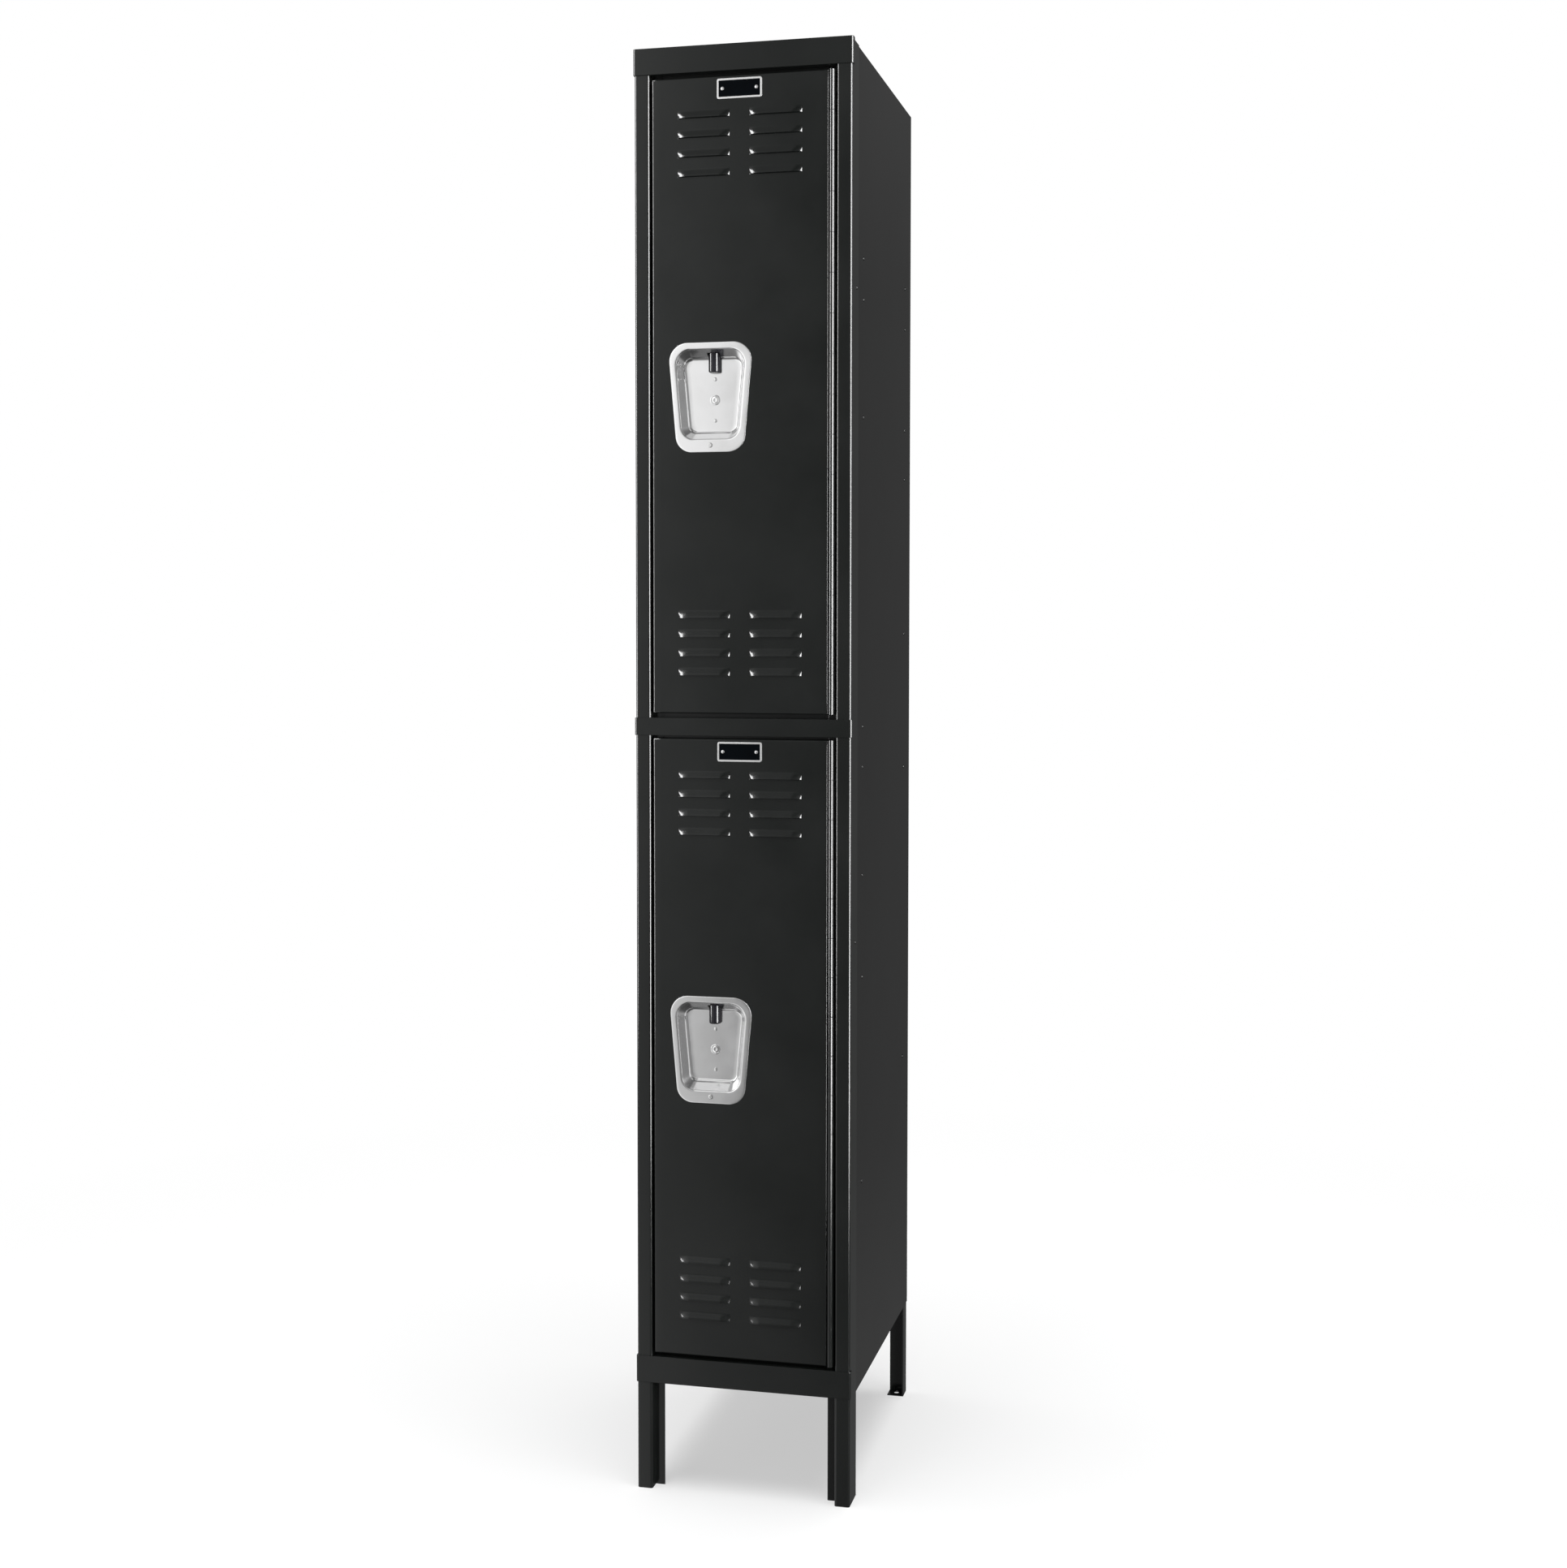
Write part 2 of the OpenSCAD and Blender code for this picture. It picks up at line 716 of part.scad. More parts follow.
// spring clips inside the bar, each just above a frame hook's nose
module latch_clips() {
    for (z = hook_zs) translate([0, 0, z + nose_top + clip_lift]) {
        box([bar_left + bar_t + 0.3, bar_front + bar_t, 0],
            [bar_right - bar_t - 0.3, bar_front + bar_t + 1, 22]);
        box([bar_left + bar_t + 0.3, bar_front + bar_t, 0],
            [bar_right - bar_t - 0.3, bar_back, 1.2]);
    }
}

module bar_guides() {
    for (z = guide_zs) difference() {
        box([door_left + door_t + 0.1, face_y + door_t + 0.1, z - guide_half],
            [door_left + latch_lip - 2.3, door_back - door_t - 0.1, z + guide_half]);
        box([bar_left - guide_gap, bar_front - guide_gap, z - guide_half - 1],
            [bar_right + guide_gap, bar_back + guide_gap, z + guide_half + 1]);
    }
}

// heavy hook plate and its base, welded behind the latch-side strike flange
module frame_hook() {
    translate([hook_x, 0, 0]) rotate([90, 0, 90]) linear_extrude(hook_t) polygon([
        [strike_y + hook_base_t, -12], [strike_y + hook_base_t, 12],
        [hook_tip_y + 6, 12], [hook_tip_y + 6, 0], [hook_tip_y + 2, 0],
        [hook_tip_y + 2, nose_top], [hook_tip_y + 1, nose_top],
        [hook_tip_y, nose_top - 3], [hook_tip_y, -5], [hook_tip_y + 6, -12]
    ]);
    box([-inner_x + 2, strike_y, -20], [hook_x + hook_t, strike_y + hook_base_t, 20]);
}

module frame_hooks() {
    color(zinc) for (d = door_zs, z = hook_zs) translate([0, 0, d + door_h / 2 + z]) frame_hook();
}

// rubber pads on the strike flange where the door's lip lands
module silencers() {
    color(plastic) for (d = door_zs, z = hook_zs)
        translate([0, 0, d + door_h / 2 + z])
            box([-inner_x + 2, door_back + 0.3, -8], [-strike_x - 1.5, strike_y - frame_t, 8]);
}

module at_upper() { translate([0, 0, upper_door_z + door_h / 2]) children(); }
module at_lower() { translate([0, 0, lower_door_z + door_h / 2]) children(); }

module handle_cup_upper() { color(steel) at_upper() cup(); }
module handle_cup_lower() { color(steel) at_lower() cup(); }
module cup_screw_upper() { color(steel) at_upper() cup_screw(); }
module cup_screw_lower() { color(steel) at_lower() cup_screw(); }
module lock_hole_plug_upper() { color(steel) at_upper() lock_plug(); }
module lock_hole_plug_lower() { color(steel) at_lower() lock_plug(); }
module lock_hole_rivets_upper() { color(steel) at_upper() lock_rivets(); }
module lock_hole_rivets_lower() { color(steel) at_lower() lock_rivets(); }
module number_plate_upper() { color(steel) translate([0, 0, upper_door_z]) number_plate(); }
module number_plate_lower() { color(steel) translate([0, 0, lower_door_z]) number_plate(); }
module plate_rivets_upper() { color(steel) translate([0, 0, upper_door_z]) plate_rivets(); }
module plate_rivets_lower() { color(steel) translate([0, 0, lower_door_z]) plate_rivets(); }
module bar_guides_upper() { color([0.85, 0.85, 0.82]) at_upper() bar_guides(); }
module bar_guides_lower() { color([0.85, 0.85, 0.82]) at_lower() bar_guides(); }
module lock_bar_upper() { color(zinc) at_upper() lock_bar(); }
module lock_bar_lower() { color(zinc) at_lower() lock_bar(); }
module lift_trigger_upper() { color(plastic) at_upper() lift_trigger(); }
module lift_trigger_lower() { color(plastic) at_lower() lift_trigger(); }
module latch_clips_upper() { color(steel) at_upper() latch_clips(); }
module latch_clips_lower() { color(steel) at_lower() latch_clips(); }

frame_upright_left();
frame_upright_right();
header_rail();
middle_rail();
bottom_rail();
side_panel_left();
side_panel_right();
back_panel();
top_panel();
tier_shelf();
bottom_shelf();
rear_leg_left();
rear_leg_right();
side_rivets();
hinge_frame_leaf_upper();
hinge_frame_leaf_lower();
hinge_pin_upper();
hinge_pin_lower();
frame_hooks();
silencers();
ceiling_hooks();
wall_hooks();
coat_hook_bolts();
door_panel_upper();
hinge_door_leaf_upper();
handle_cup_upper();
cup_screw_upper();
lock_hole_plug_upper();
lock_hole_rivets_upper();
number_plate_upper();
plate_rivets_upper();
bar_guides_upper();
lock_bar_upper();
lift_trigger_upper();
latch_clips_upper();
door_panel_lower();
hinge_door_leaf_lower();
handle_cup_lower();
cup_screw_lower();
lock_hole_plug_lower();
lock_hole_rivets_lower();
number_plate_lower();
plate_rivets_lower();
bar_guides_lower();
lock_bar_lower();
lift_trigger_lower();
latch_clips_lower();
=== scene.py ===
"""Looks for the two-tier sheet-metal locker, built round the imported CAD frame. Metres."""
import json
import math

import bmesh
import bpy
import numpy as np
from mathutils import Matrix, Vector

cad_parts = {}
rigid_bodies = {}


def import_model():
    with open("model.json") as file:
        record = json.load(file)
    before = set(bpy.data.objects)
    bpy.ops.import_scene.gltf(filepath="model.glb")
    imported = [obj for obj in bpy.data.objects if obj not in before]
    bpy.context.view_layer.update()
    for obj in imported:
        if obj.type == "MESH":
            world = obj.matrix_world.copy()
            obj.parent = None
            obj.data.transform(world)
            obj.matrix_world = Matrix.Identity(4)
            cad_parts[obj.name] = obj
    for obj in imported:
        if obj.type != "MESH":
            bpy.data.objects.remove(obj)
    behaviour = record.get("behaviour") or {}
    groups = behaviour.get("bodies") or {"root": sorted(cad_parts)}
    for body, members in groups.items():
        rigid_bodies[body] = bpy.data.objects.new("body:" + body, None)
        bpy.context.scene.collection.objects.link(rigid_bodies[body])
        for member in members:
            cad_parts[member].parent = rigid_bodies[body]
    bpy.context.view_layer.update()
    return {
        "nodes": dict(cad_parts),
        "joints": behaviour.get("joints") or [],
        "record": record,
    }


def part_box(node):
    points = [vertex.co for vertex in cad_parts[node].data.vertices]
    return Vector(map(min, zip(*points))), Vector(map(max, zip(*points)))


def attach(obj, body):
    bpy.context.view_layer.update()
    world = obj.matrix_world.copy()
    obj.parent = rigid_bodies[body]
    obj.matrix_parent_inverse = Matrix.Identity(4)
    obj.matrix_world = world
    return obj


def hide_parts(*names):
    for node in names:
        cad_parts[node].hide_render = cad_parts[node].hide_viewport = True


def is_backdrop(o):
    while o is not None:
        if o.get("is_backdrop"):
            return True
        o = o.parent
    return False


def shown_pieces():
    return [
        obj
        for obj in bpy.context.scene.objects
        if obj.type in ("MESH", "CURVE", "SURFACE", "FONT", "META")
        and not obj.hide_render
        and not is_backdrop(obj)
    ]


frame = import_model()

MM = 0.001
LEVELS = ("upper", "lower")
SLOT_POWDER, SLOT_STEEL, SLOT_BRIGHT = "black_powder_coat", "stainless_steel", "bright_fastener"
SLOT_PLATE, SLOT_PLASTIC, SLOT_RUBBER = "plate_face", "black_plastic", "rubber"
SLOT_NATURAL, SLOT_ZINC = "natural_plastic", "zinc_plated_steel"


def span(node):
    """A CAD node's box in millimetres, as three (low, high) pairs."""
    lo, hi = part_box(node)
    return [(lo[i] / MM, hi[i] / MM) for i in range(3)]


# ---------------------------------------------------------------- materials

def new_material(name):
    m = bpy.data.materials.new(name)
    m.use_nodes = True
    nt = m.node_tree
    return m, nt, nt.nodes["Principled BSDF"]


def node(nt, kind, **values):
    n = nt.nodes.new(kind)
    for key, value in values.items():
        if hasattr(n, key):
            setattr(n, key, value)
        else:
            n.inputs[key.replace("_", " ")].default_value = value
    return n


def coords(nt, scale=(1, 1, 1)):
    tex = nt.nodes.new("ShaderNodeTexCoord")
    mapping = nt.nodes.new("ShaderNodeMapping")
    mapping.inputs["Scale"].default_value = scale
    nt.links.new(tex.outputs["Object"], mapping.inputs["Vector"])
    return mapping.outputs["Vector"]


def noise(nt, vector, scale, detail=2.0, rough=0.5):
    n = node(nt, "ShaderNodeTexNoise", Scale=scale, Detail=detail, Roughness=rough)
    nt.links.new(vector, n.inputs["Vector"])
    return n.outputs["Fac"]


def ramp(nt, fac, stops):
    """A colour ramp from fac between two stops of (position, grey or colour)."""
    n = nt.nodes.new("ShaderNodeValToRGB")
    for e, (pos, c) in zip(n.color_ramp.elements, stops):
        e.position = pos
        e.color = (c, c, c, 1) if isinstance(c, (int, float)) else (*c, 1)
    nt.links.new(fac, n.inputs["Fac"])
    return n.outputs["Color"]


def bump(nt, bsdf, layers):
    """Chains bump nodes: (height, strength, distance in metres) each."""
    normal = None
    for height, strength, distance in layers:
        b = node(nt, "ShaderNodeBump", Strength=strength, Distance=distance)
        nt.links.new(height, b.inputs["Height"])
        if normal:
            nt.links.new(normal, b.inputs["Normal"])
        normal = b.outputs["Normal"]
    nt.links.new(normal, bsdf.inputs["Normal"])


def powder_coat():
    m, nt, b = new_material("powder_coat")
    v = coords(nt)
    peel = noise(nt, v, 380, 2.0, 0.5)
    fine = noise(nt, v, 2600, 1.0, 0.5)
    cloud = noise(nt, v, 6, 4.0, 0.6)
    colour = ramp(nt, cloud, [(0.3, (0.0010, 0.0012, 0.0011)), (0.7, (0.0017, 0.0019, 0.0018))])
    nt.links.new(colour, b.inputs["Base Color"])
    nt.links.new(ramp(nt, cloud, [(0.25, 0.15), (0.75, 0.20)]), b.inputs["Roughness"])
    b.inputs["Specular IOR Level"].default_value = 0.4
    bump(nt, b, [(peel, 0.07, 0.00016), (fine, 0.02, 0.00004)])
    return m


def stainless():
    m, nt, b = new_material("stainless")
    grain = noise(nt, coords(nt, (900, 900, 14)), 1.0, 3.0, 0.6)
    smear = noise(nt, coords(nt), 28, 3.0, 0.55)
    nt.links.new(ramp(nt, smear, [(0.3, (0.90, 0.90, 0.90)), (0.7, (0.955, 0.955, 0.96))]),
                 b.inputs["Base Color"])
    nt.links.new(ramp(nt, smear, [(0.25, 0.12), (0.75, 0.20)]), b.inputs["Roughness"])
    b.inputs["Metallic"].default_value = 1.0
    bump(nt, b, [(grain, 0.06, 0.00003)])
    return m


def bright_metal(name, low, high, rough, spots=60):
    m, nt, b = new_material(name)
    cloud = noise(nt, coords(nt), spots, 4.0, 0.6)
    nt.links.new(ramp(nt, cloud, [(0.3, low), (0.7, high)]), b.inputs["Base Color"])
    nt.links.new(ramp(nt, cloud, [(0.2, rough * 0.8), (0.8, rough * 1.3)]), b.inputs["Roughness"])
    b.inputs["Metallic"].default_value = 1.0
    bump(nt, b, [(noise(nt, coords(nt), 1500, 2.0, 0.5), 0.08, 0.00003)])
    return m


def plastic(name, low, high, rough, grain=900, strength=0.06, specular=0.5):
    m, nt, b = new_material(name)
    b.inputs["Specular IOR Level"].default_value = specular
    cloud = noise(nt, coords(nt), 40, 3.0, 0.5)
    nt.links.new(ramp(nt, cloud, [(0.3, low), (0.7, high)]), b.inputs["Base Color"])
    nt.links.new(ramp(nt, cloud, [(0.3, rough * 0.85), (0.7, rough * 1.2)]), b.inputs["Roughness"])
    bump(nt, b, [(noise(nt, coords(nt), grain, 2.0, 0.5), strength, 0.00005)])
    return m


POWDER = powder_coat()
STEEL = stainless()
BRIGHT = bright_metal("bright_rivet", (0.78, 0.78, 0.78), (0.9, 0.9, 0.9), 0.16)
ZINC = bright_metal("zinc_plate", (0.42, 0.43, 0.44), (0.6, 0.6, 0.58), 0.32)
BORDER = bright_metal("plate_border", (0.85, 0.85, 0.85), (0.95, 0.95, 0.95), 0.24)
ENAMEL = plastic("plate_enamel", (0.0003, 0.0014, 0.0028), (0.0006, 0.0024, 0.0048), 0.3, 1200, 0.03, 0.08)
GLOSS = plastic("trigger_plastic", (0.002, 0.002, 0.0025), (0.004, 0.004, 0.005), 0.11, 700, 0.03, 0.35)
RUBBER = plastic("silencer_rubber", (0.008, 0.008, 0.008), (0.014, 0.014, 0.014), 0.65, 1500, 0.2)
NATURAL = plastic("guide_plastic", (0.55, 0.55, 0.50), (0.64, 0.64, 0.6), 0.45, 800, 0.08)

SLOT_LOOKS = {
    SLOT_POWDER: POWDER, SLOT_STEEL: STEEL, SLOT_BRIGHT: BRIGHT, SLOT_PLATE: ENAMEL,
    SLOT_PLASTIC: GLOSS, SLOT_RUBBER: RUBBER, SLOT_NATURAL: NATURAL, SLOT_ZINC: ZINC,
}


# ---------------------------------------------------------------- mesh helpers

def make(name, verts, faces, material, body, replaces=(), smooth_angle=32.0, merge=True):
    """A piece from vertices in millimetres: merged, smooth-shaded and riding on its body."""
    me = bpy.data.meshes.new(name)
    me.from_pydata([tuple(c * MM for c in v) for v in verts], [], faces)
    obj = bpy.data.objects.new(name, me)
    bpy.context.scene.collection.objects.link(obj)
    if merge:
        bm = bmesh.new()
        bm.from_mesh(me)
        bmesh.ops.remove_doubles(bm, verts=bm.verts, dist=2e-6)
        bmesh.ops.recalc_face_normals(bm, faces=bm.faces)
        bm.to_mesh(me)
        bm.free()
    me.materials.append(material)
    finish_piece(obj, body, replaces, smooth_angle)
    return obj


def finish_piece(obj, body, replaces=(), smooth_angle=32.0):
    shade(obj.data, smooth_angle)
    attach(obj, body)
    if replaces:
        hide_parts(*replaces)


def shade(me, angle):
    for p in me.polygons:
        p.use_smooth = True
    me.set_sharp_from_angle(angle=math.radians(angle))


def apply_modifiers(obj, angle=32.0):
    """Turns the object's modifiers into its mesh, which is then shaded as made."""
    dg = bpy.context.evaluated_depsgraph_get()
    me = bpy.data.meshes.new_from_object(obj.evaluated_get(dg))
    obj.modifiers.clear()
    old = obj.data
    obj.data = me
    bpy.data.meshes.remove(old)
    shade(me, angle)


def bevel(obj, width, segments=2, angle=40.0):
    mod = obj.modifiers.new("edge_rounding", "BEVEL")
    mod.width = width * MM
    mod.segments = segments
    mod.limit_method = "ANGLE"
    mod.angle_limit = math.radians(angle)
    mod.harden_normals = False
    return mod


class Build:
    """Collects vertices and faces of one piece, in millimetres."""

    def __init__(self):
        self.v, self.f = [], []

    def add(self, verts, faces):
        n = len(self.v)
        self.v += [tuple(map(float, p)) for p in verts]
        self.f += [tuple(i + n for i in face) for face in faces]

    def box(self, x, y, z):
        self.prism([(x[0], y[0]), (x[1], y[0]), (x[1], y[1]), (x[0], y[1])], *z)

    def prism(self, loop, z0, z1, axes="xyz", mirror=1):
        """A closed loop of 2D points extruded from z0 to z1. axes says which axis each of the three is."""
        n = len(loop)
        place = {a: i for i, a in enumerate(axes)}

        def point(p, z):
            c = (p[0], p[1], z)
            q = [c[place["x"]], c[place["y"]], c[place["z"]]]
            q[0] *= mirror
            return q

        verts = [point(p, z0) for p in loop] + [point(p, z1) for p in loop]
        faces = [(i, (i + 1) % n, n + (i + 1) % n, n + i) for i in range(n)]
        faces += strip_cap(n, 0) + strip_cap(n, n)
        self.add(verts, faces)

    def revolve(self, profile, centre, axis, segments=28):
        """A profile of (radius, height) turned about an axis through centre."""
        axis = Vector(axis).normalized()
        side = axis.orthogonal().normalized()
        other = axis.cross(side)
        verts, faces = [], []
        for r, h in profile:
            for k in range(segments):
                a = 2 * math.pi * k / segments
                p = Vector(centre) + axis * h + (side * math.cos(a) + other * math.sin(a)) * r
                verts.append(p)
        rows = len(profile)
        for i in range(rows - 1):
            for k in range(segments):
                a, b = i * segments + k, i * segments + (k + 1) % segments
                faces.append((a, b, b + segments, a + segments))
        if profile[0][0] > 1e-6:
            faces.append(tuple(range(segments)))
        if profile[-1][0] > 1e-6:
            faces.append(tuple((rows - 1) * segments + k for k in range(segments)))
        self.add(verts, faces)


def strip_cap(n, start):
    """Caps a loop made of two rails of equal length as a strip of quads, or a plain loop as one face."""
    if n % 2 or n < 6:
        return [tuple(range(start, start + n))]
    half = n // 2
    return [(start + i, start + i + 1, start + n - 2 - i, start + n - 1 - i) for i in range(half - 1)]


def bent(points, t, radius, segments=8):
    """Outline of a folded sheet from its middle line: bends rounded, sheet t thick."""
    pts = [Vector(p) for p in points]
    line = [pts[0]]
    for a, b, c in zip(pts, pts[1:], pts[2:]):
        u, w = (a - b).normalized(), (c - b).normalized()
        turn = math.pi - u.angle(w)
        cut = radius * math.tan(turn / 2)
        start, end = b + u * cut, b + w * cut
        centre = b + (u + w).normalized() * (radius / math.cos(turn / 2))
        sweep = math.remainder(math.atan2(*(end - centre).yx) - math.atan2(*(start - centre).yx), 2 * math.pi)
        r = start - centre
        for k in range(segments + 1):
            a = sweep * k / segments
            line.append(centre + Vector((r.x * math.cos(a) - r.y * math.sin(a),
                                         r.x * math.sin(a) + r.y * math.cos(a))))
    line.append(pts[-1])
    normals = []
    for i, p in enumerate(line):
        before = (p - line[i - 1]).normalized() if i else None
        after = (line[i + 1] - p).normalized() if i < len(line) - 1 else None
        d = (before + after).normalized() if before and after else (before or after)
        normals.append(Vector((-d.y, d.x)))
    left = [p + n * t / 2 for p, n in zip(line, normals)]
    right = [p - n * t / 2 for p, n in zip(line, normals)]
    return [tuple(p) for p in left] + [tuple(p) for p in reversed(right)]


# ---------------------------------------------------------------- sizes

SHEET = 1.5
BEND = 2.4
RAIL_Y = span("header_rail")[1][0]
HALF_W = span("header_rail")[0][1]
FACE = RAIL_Y + SHEET
UPRIGHT = span("frame_upright_right")
UP_X = UPRIGHT[0][1]
STRIKE_X = UPRIGHT[0][0]
UP_BACK = UPRIGHT[1][1]
UP_TOP = UPRIGHT[2][1]
INNER_X = span("hinge_frame_leaf_upper")[0][1]
STRIKE_Y = span("bottom_rail")[1][1]
JOINTS = {j["name"]: j for j in frame["joints"]}
PIN_X = JOINTS["upper_door_hinge"]["pos_m"][0] / MM
KNUCKLE_R, KNUCKLE_BORE = 3.8, 2.4


# ---------------------------------------------------------------- front frame

def upright(name, mirror):
    b = Build()
    half = SHEET / 2
    main = bent([(INNER_X + half, STRIKE_Y), (INNER_X + half, FACE + half),
                 (UP_X - half, FACE + half), (UP_X - half, UP_BACK)], SHEET, BEND)
    b.prism(main, 0, UP_TOP, mirror=mirror)
    strike = [(STRIKE_X, STRIKE_Y - SHEET), (INNER_X + SHEET, STRIKE_Y - SHEET),
              (INNER_X + SHEET, STRIKE_Y - 0.01), (STRIKE_X, STRIKE_Y - 0.01)]
    b.prism(strike, 0, UP_TOP, mirror=mirror)
    obj = make(name + "_sheet", b.v, b.f, POWDER, "cabinet", [name])
    bevel(obj, 0.35, 2, 60)
    apply_modifiers(obj)


upright("frame_upright_right", 1)
upright("frame_upright_left", -1)


def rail(name, z0, z1, lips, wrap=10.0, back=None):
    """A folded rail: face with its two wrapped ends, returns and strike lips."""
    b = Build()
    half = SHEET / 2
    band = bent([(-HALF_W + half, RAIL_Y + wrap), (-HALF_W + half, RAIL_Y + half),
                 (HALF_W - half, RAIL_Y + half), (HALF_W - half, RAIL_Y + wrap)], SHEET, BEND)
    b.prism(band, z0, z1)
    wide, narrow = INNER_X - 0.4, STRIKE_X - 0.4
    for z, z_lip in lips:
        b.box((-wide, wide), (FACE - 0.7, STRIKE_Y - SHEET - 0.4), (z, z + SHEET))
        b.box((-narrow, narrow), (FACE - 0.6, STRIKE_Y), (z + 0.01, z + SHEET - 0.01))
        low, high = min(z + 0.3, z_lip), max(z + SHEET - 0.3, z_lip)
        b.box((-narrow, narrow), (STRIKE_Y - SHEET, STRIKE_Y - 0.01), (low, high))
    if back:
        b.box((-UP_X + 1, UP_X - 1), (RAIL_Y + 0.8, RAIL_Y + back), (z1 - SHEET, z1))
    obj = make(name + "_sheet", b.v, b.f, POWDER, "cabinet", [name])
    bevel(obj, 0.6, 3, 60)
    apply_modifiers(obj)


BOTTOM, MIDDLE, HEADER = span("bottom_rail")[2], span("middle_rail")[2], span("header_rail")[2]
LIP = 12.0
rail("bottom_rail", BOTTOM[0], BOTTOM[1] - LIP,
     [(BOTTOM[0], BOTTOM[0]), (BOTTOM[1] - LIP - SHEET, BOTTOM[1])])
rail("middle_rail", MIDDLE[0] + LIP, MIDDLE[1] - LIP,
     [(MIDDLE[0] + LIP, MIDDLE[0]), (MIDDLE[1] - LIP - SHEET, MIDDLE[1])])
rail("header_rail", HEADER[0] + LIP, HEADER[1], [(HEADER[0] + LIP, HEADER[0])], back=44.0)


# ---------------------------------------------------------------- hinges

KNUCKLES = 16
LEAF = 1.5


def leaf(name, level, first, body, wing, strip):
    """One leaf of a continuous hinge: its knuckles, each with a wing, and its strip."""
    z0, z1 = span("door_panel_" + level)[2]
    pitch = (z1 - z0) / KNUCKLES
    b = Build()
    r, bore = KNUCKLE_R, KNUCKLE_BORE
    for i in range(first, KNUCKLES, 2):
        lo, hi = z0 + i * pitch + 0.2, z0 + (i + 1) * pitch - 0.2
        b.revolve([(bore, lo), (r - 0.35, lo), (r - 0.1, lo + 0.1), (r, lo + 0.35), (r, (lo + hi) / 2),
                   (r, hi - 0.35), (r - 0.1, hi - 0.1), (r - 0.35, hi), (bore, hi)],
                  (PIN_X, FACE, 0), (0, 0, 1), 36)
        b.box(wing, (FACE + 0.3, FACE + 4.4), (lo + 0.05, hi - 0.05))
    b.prism(strip, z0 + 1, z1 - 1)
    make(name + "_rolled", b.v, b.f, POWDER, body, [name])


for level in LEVELS:
    door_right = span("door_panel_" + level)[0][1]
    leaf("hinge_door_leaf_" + level, level, 0, level + "_door", (door_right + 0.02, door_right + LEAF),
         [(door_right + 0.02, FACE + 4.3), (door_right + LEAF, FACE + 4.3),
          (door_right + LEAF, FACE + 14.3), (door_right + 0.02, FACE + 14.3)])
    leaf_in = PIN_X + KNUCKLE_BORE
    leaf("hinge_frame_leaf_" + level, level, 1, "cabinet", (leaf_in, leaf_in + LEAF),
         [(leaf_in, FACE + 4.3), (leaf_in + LEAF, FACE + 4.3), (INNER_X - 0.02, FACE + 6),
          (INNER_X - 0.02, FACE + 15.3), (INNER_X - LEAF, FACE + 15.3), (INNER_X - LEAF, FACE + 6.6)])


# ---------------------------------------------------------------- doors

BEND_OUT = 2.5
LOUVER = {"col": 50.0, "half": 36.0, "height": 10.5, "out": 3.6, "pitch": 26.0, "first": 54.6, "last": 52.0,
          "rows": 4, "end": 14.0}
LIPS = {"latch": 26.0, "hinge": 15.0, "end": 12.0}


def cup_outline(shape, grow=0.0, arc=14, side=7):
    """Points round a cup outline, in X and Z from the cup's centre, always starting at the same place."""
    (w1, r1, z1), (w2, r2, z2) = shape
    corners = [(w1 - r1, z1 - r1, r1), (-(w1 - r1), z1 - r1, r1),
               (-(w2 - r2), z2 + r2, r2), (w2 - r2, z2 + r2, r2)]
    lean = math.atan2((w1 - r1) - (w2 - r2), (z1 - r1) - (z2 + r2))
    skew = math.asin(max(-1, min(1, (r1 - r2) / math.hypot((w1 - r1) - (w2 - r2), (z1 - r1) - (z2 + r2)))))
    tilt = lean + skew
    # each corner's arc runs between the directions square to its two sides
    arcs = [(-tilt, math.pi / 2), (math.pi / 2, math.pi + tilt),
            (math.pi + tilt, 1.5 * math.pi), (1.5 * math.pi, 2 * math.pi - tilt)]
    pts = []
    for i, ((cx, cz, r), (a0, a1)) in enumerate(zip(corners, arcs)):
        for k in range(arc + 1):
            a = a0 + (a1 - a0) * k / arc
            pts.append((cx + (r + grow) * math.cos(a), cz + (r + grow) * math.sin(a)))
        nx, nz, nr = corners[(i + 1) % 4]
        a = arcs[(i + 1) % 4][0]
        q = (nx + (nr + grow) * math.cos(a), nz + (nr + grow) * math.sin(a))
        p = pts[-1]
        for k in range(1, side):
            s = k / side
            pts.append((p[0] + (q[0] - p[0]) * s, p[1] + (q[1] - p[1]) * s))
    return pts


CUP_RIM = ((57.4, 25.0, 74.0), (48.75, 23.0, -74.0))
CUP_MOUTH = ((47.5, 20.0, 64.0), (40.5, 18.0, -55.5))
CUP_FLOOR = ((40.9, 12.0, 54.0), (33.9, 11.0, -46.3))
CUP_X = -44.5


def lines(low, high, marks, coarse):
    """Grid lines from low to high through all marks, with gaps no wider than coarse."""
    keep = sorted(set(round(m, 4) for m in list(marks) + [low, high] if low - 1e-6 <= m <= high + 1e-6))
    out = []
    for a, b in zip(keep, keep[1:]):
        n = max(1, math.ceil((b - a) / coarse))
        out += [a + (b - a) * k / n for k in range(n)]
    return out + [keep[-1]]


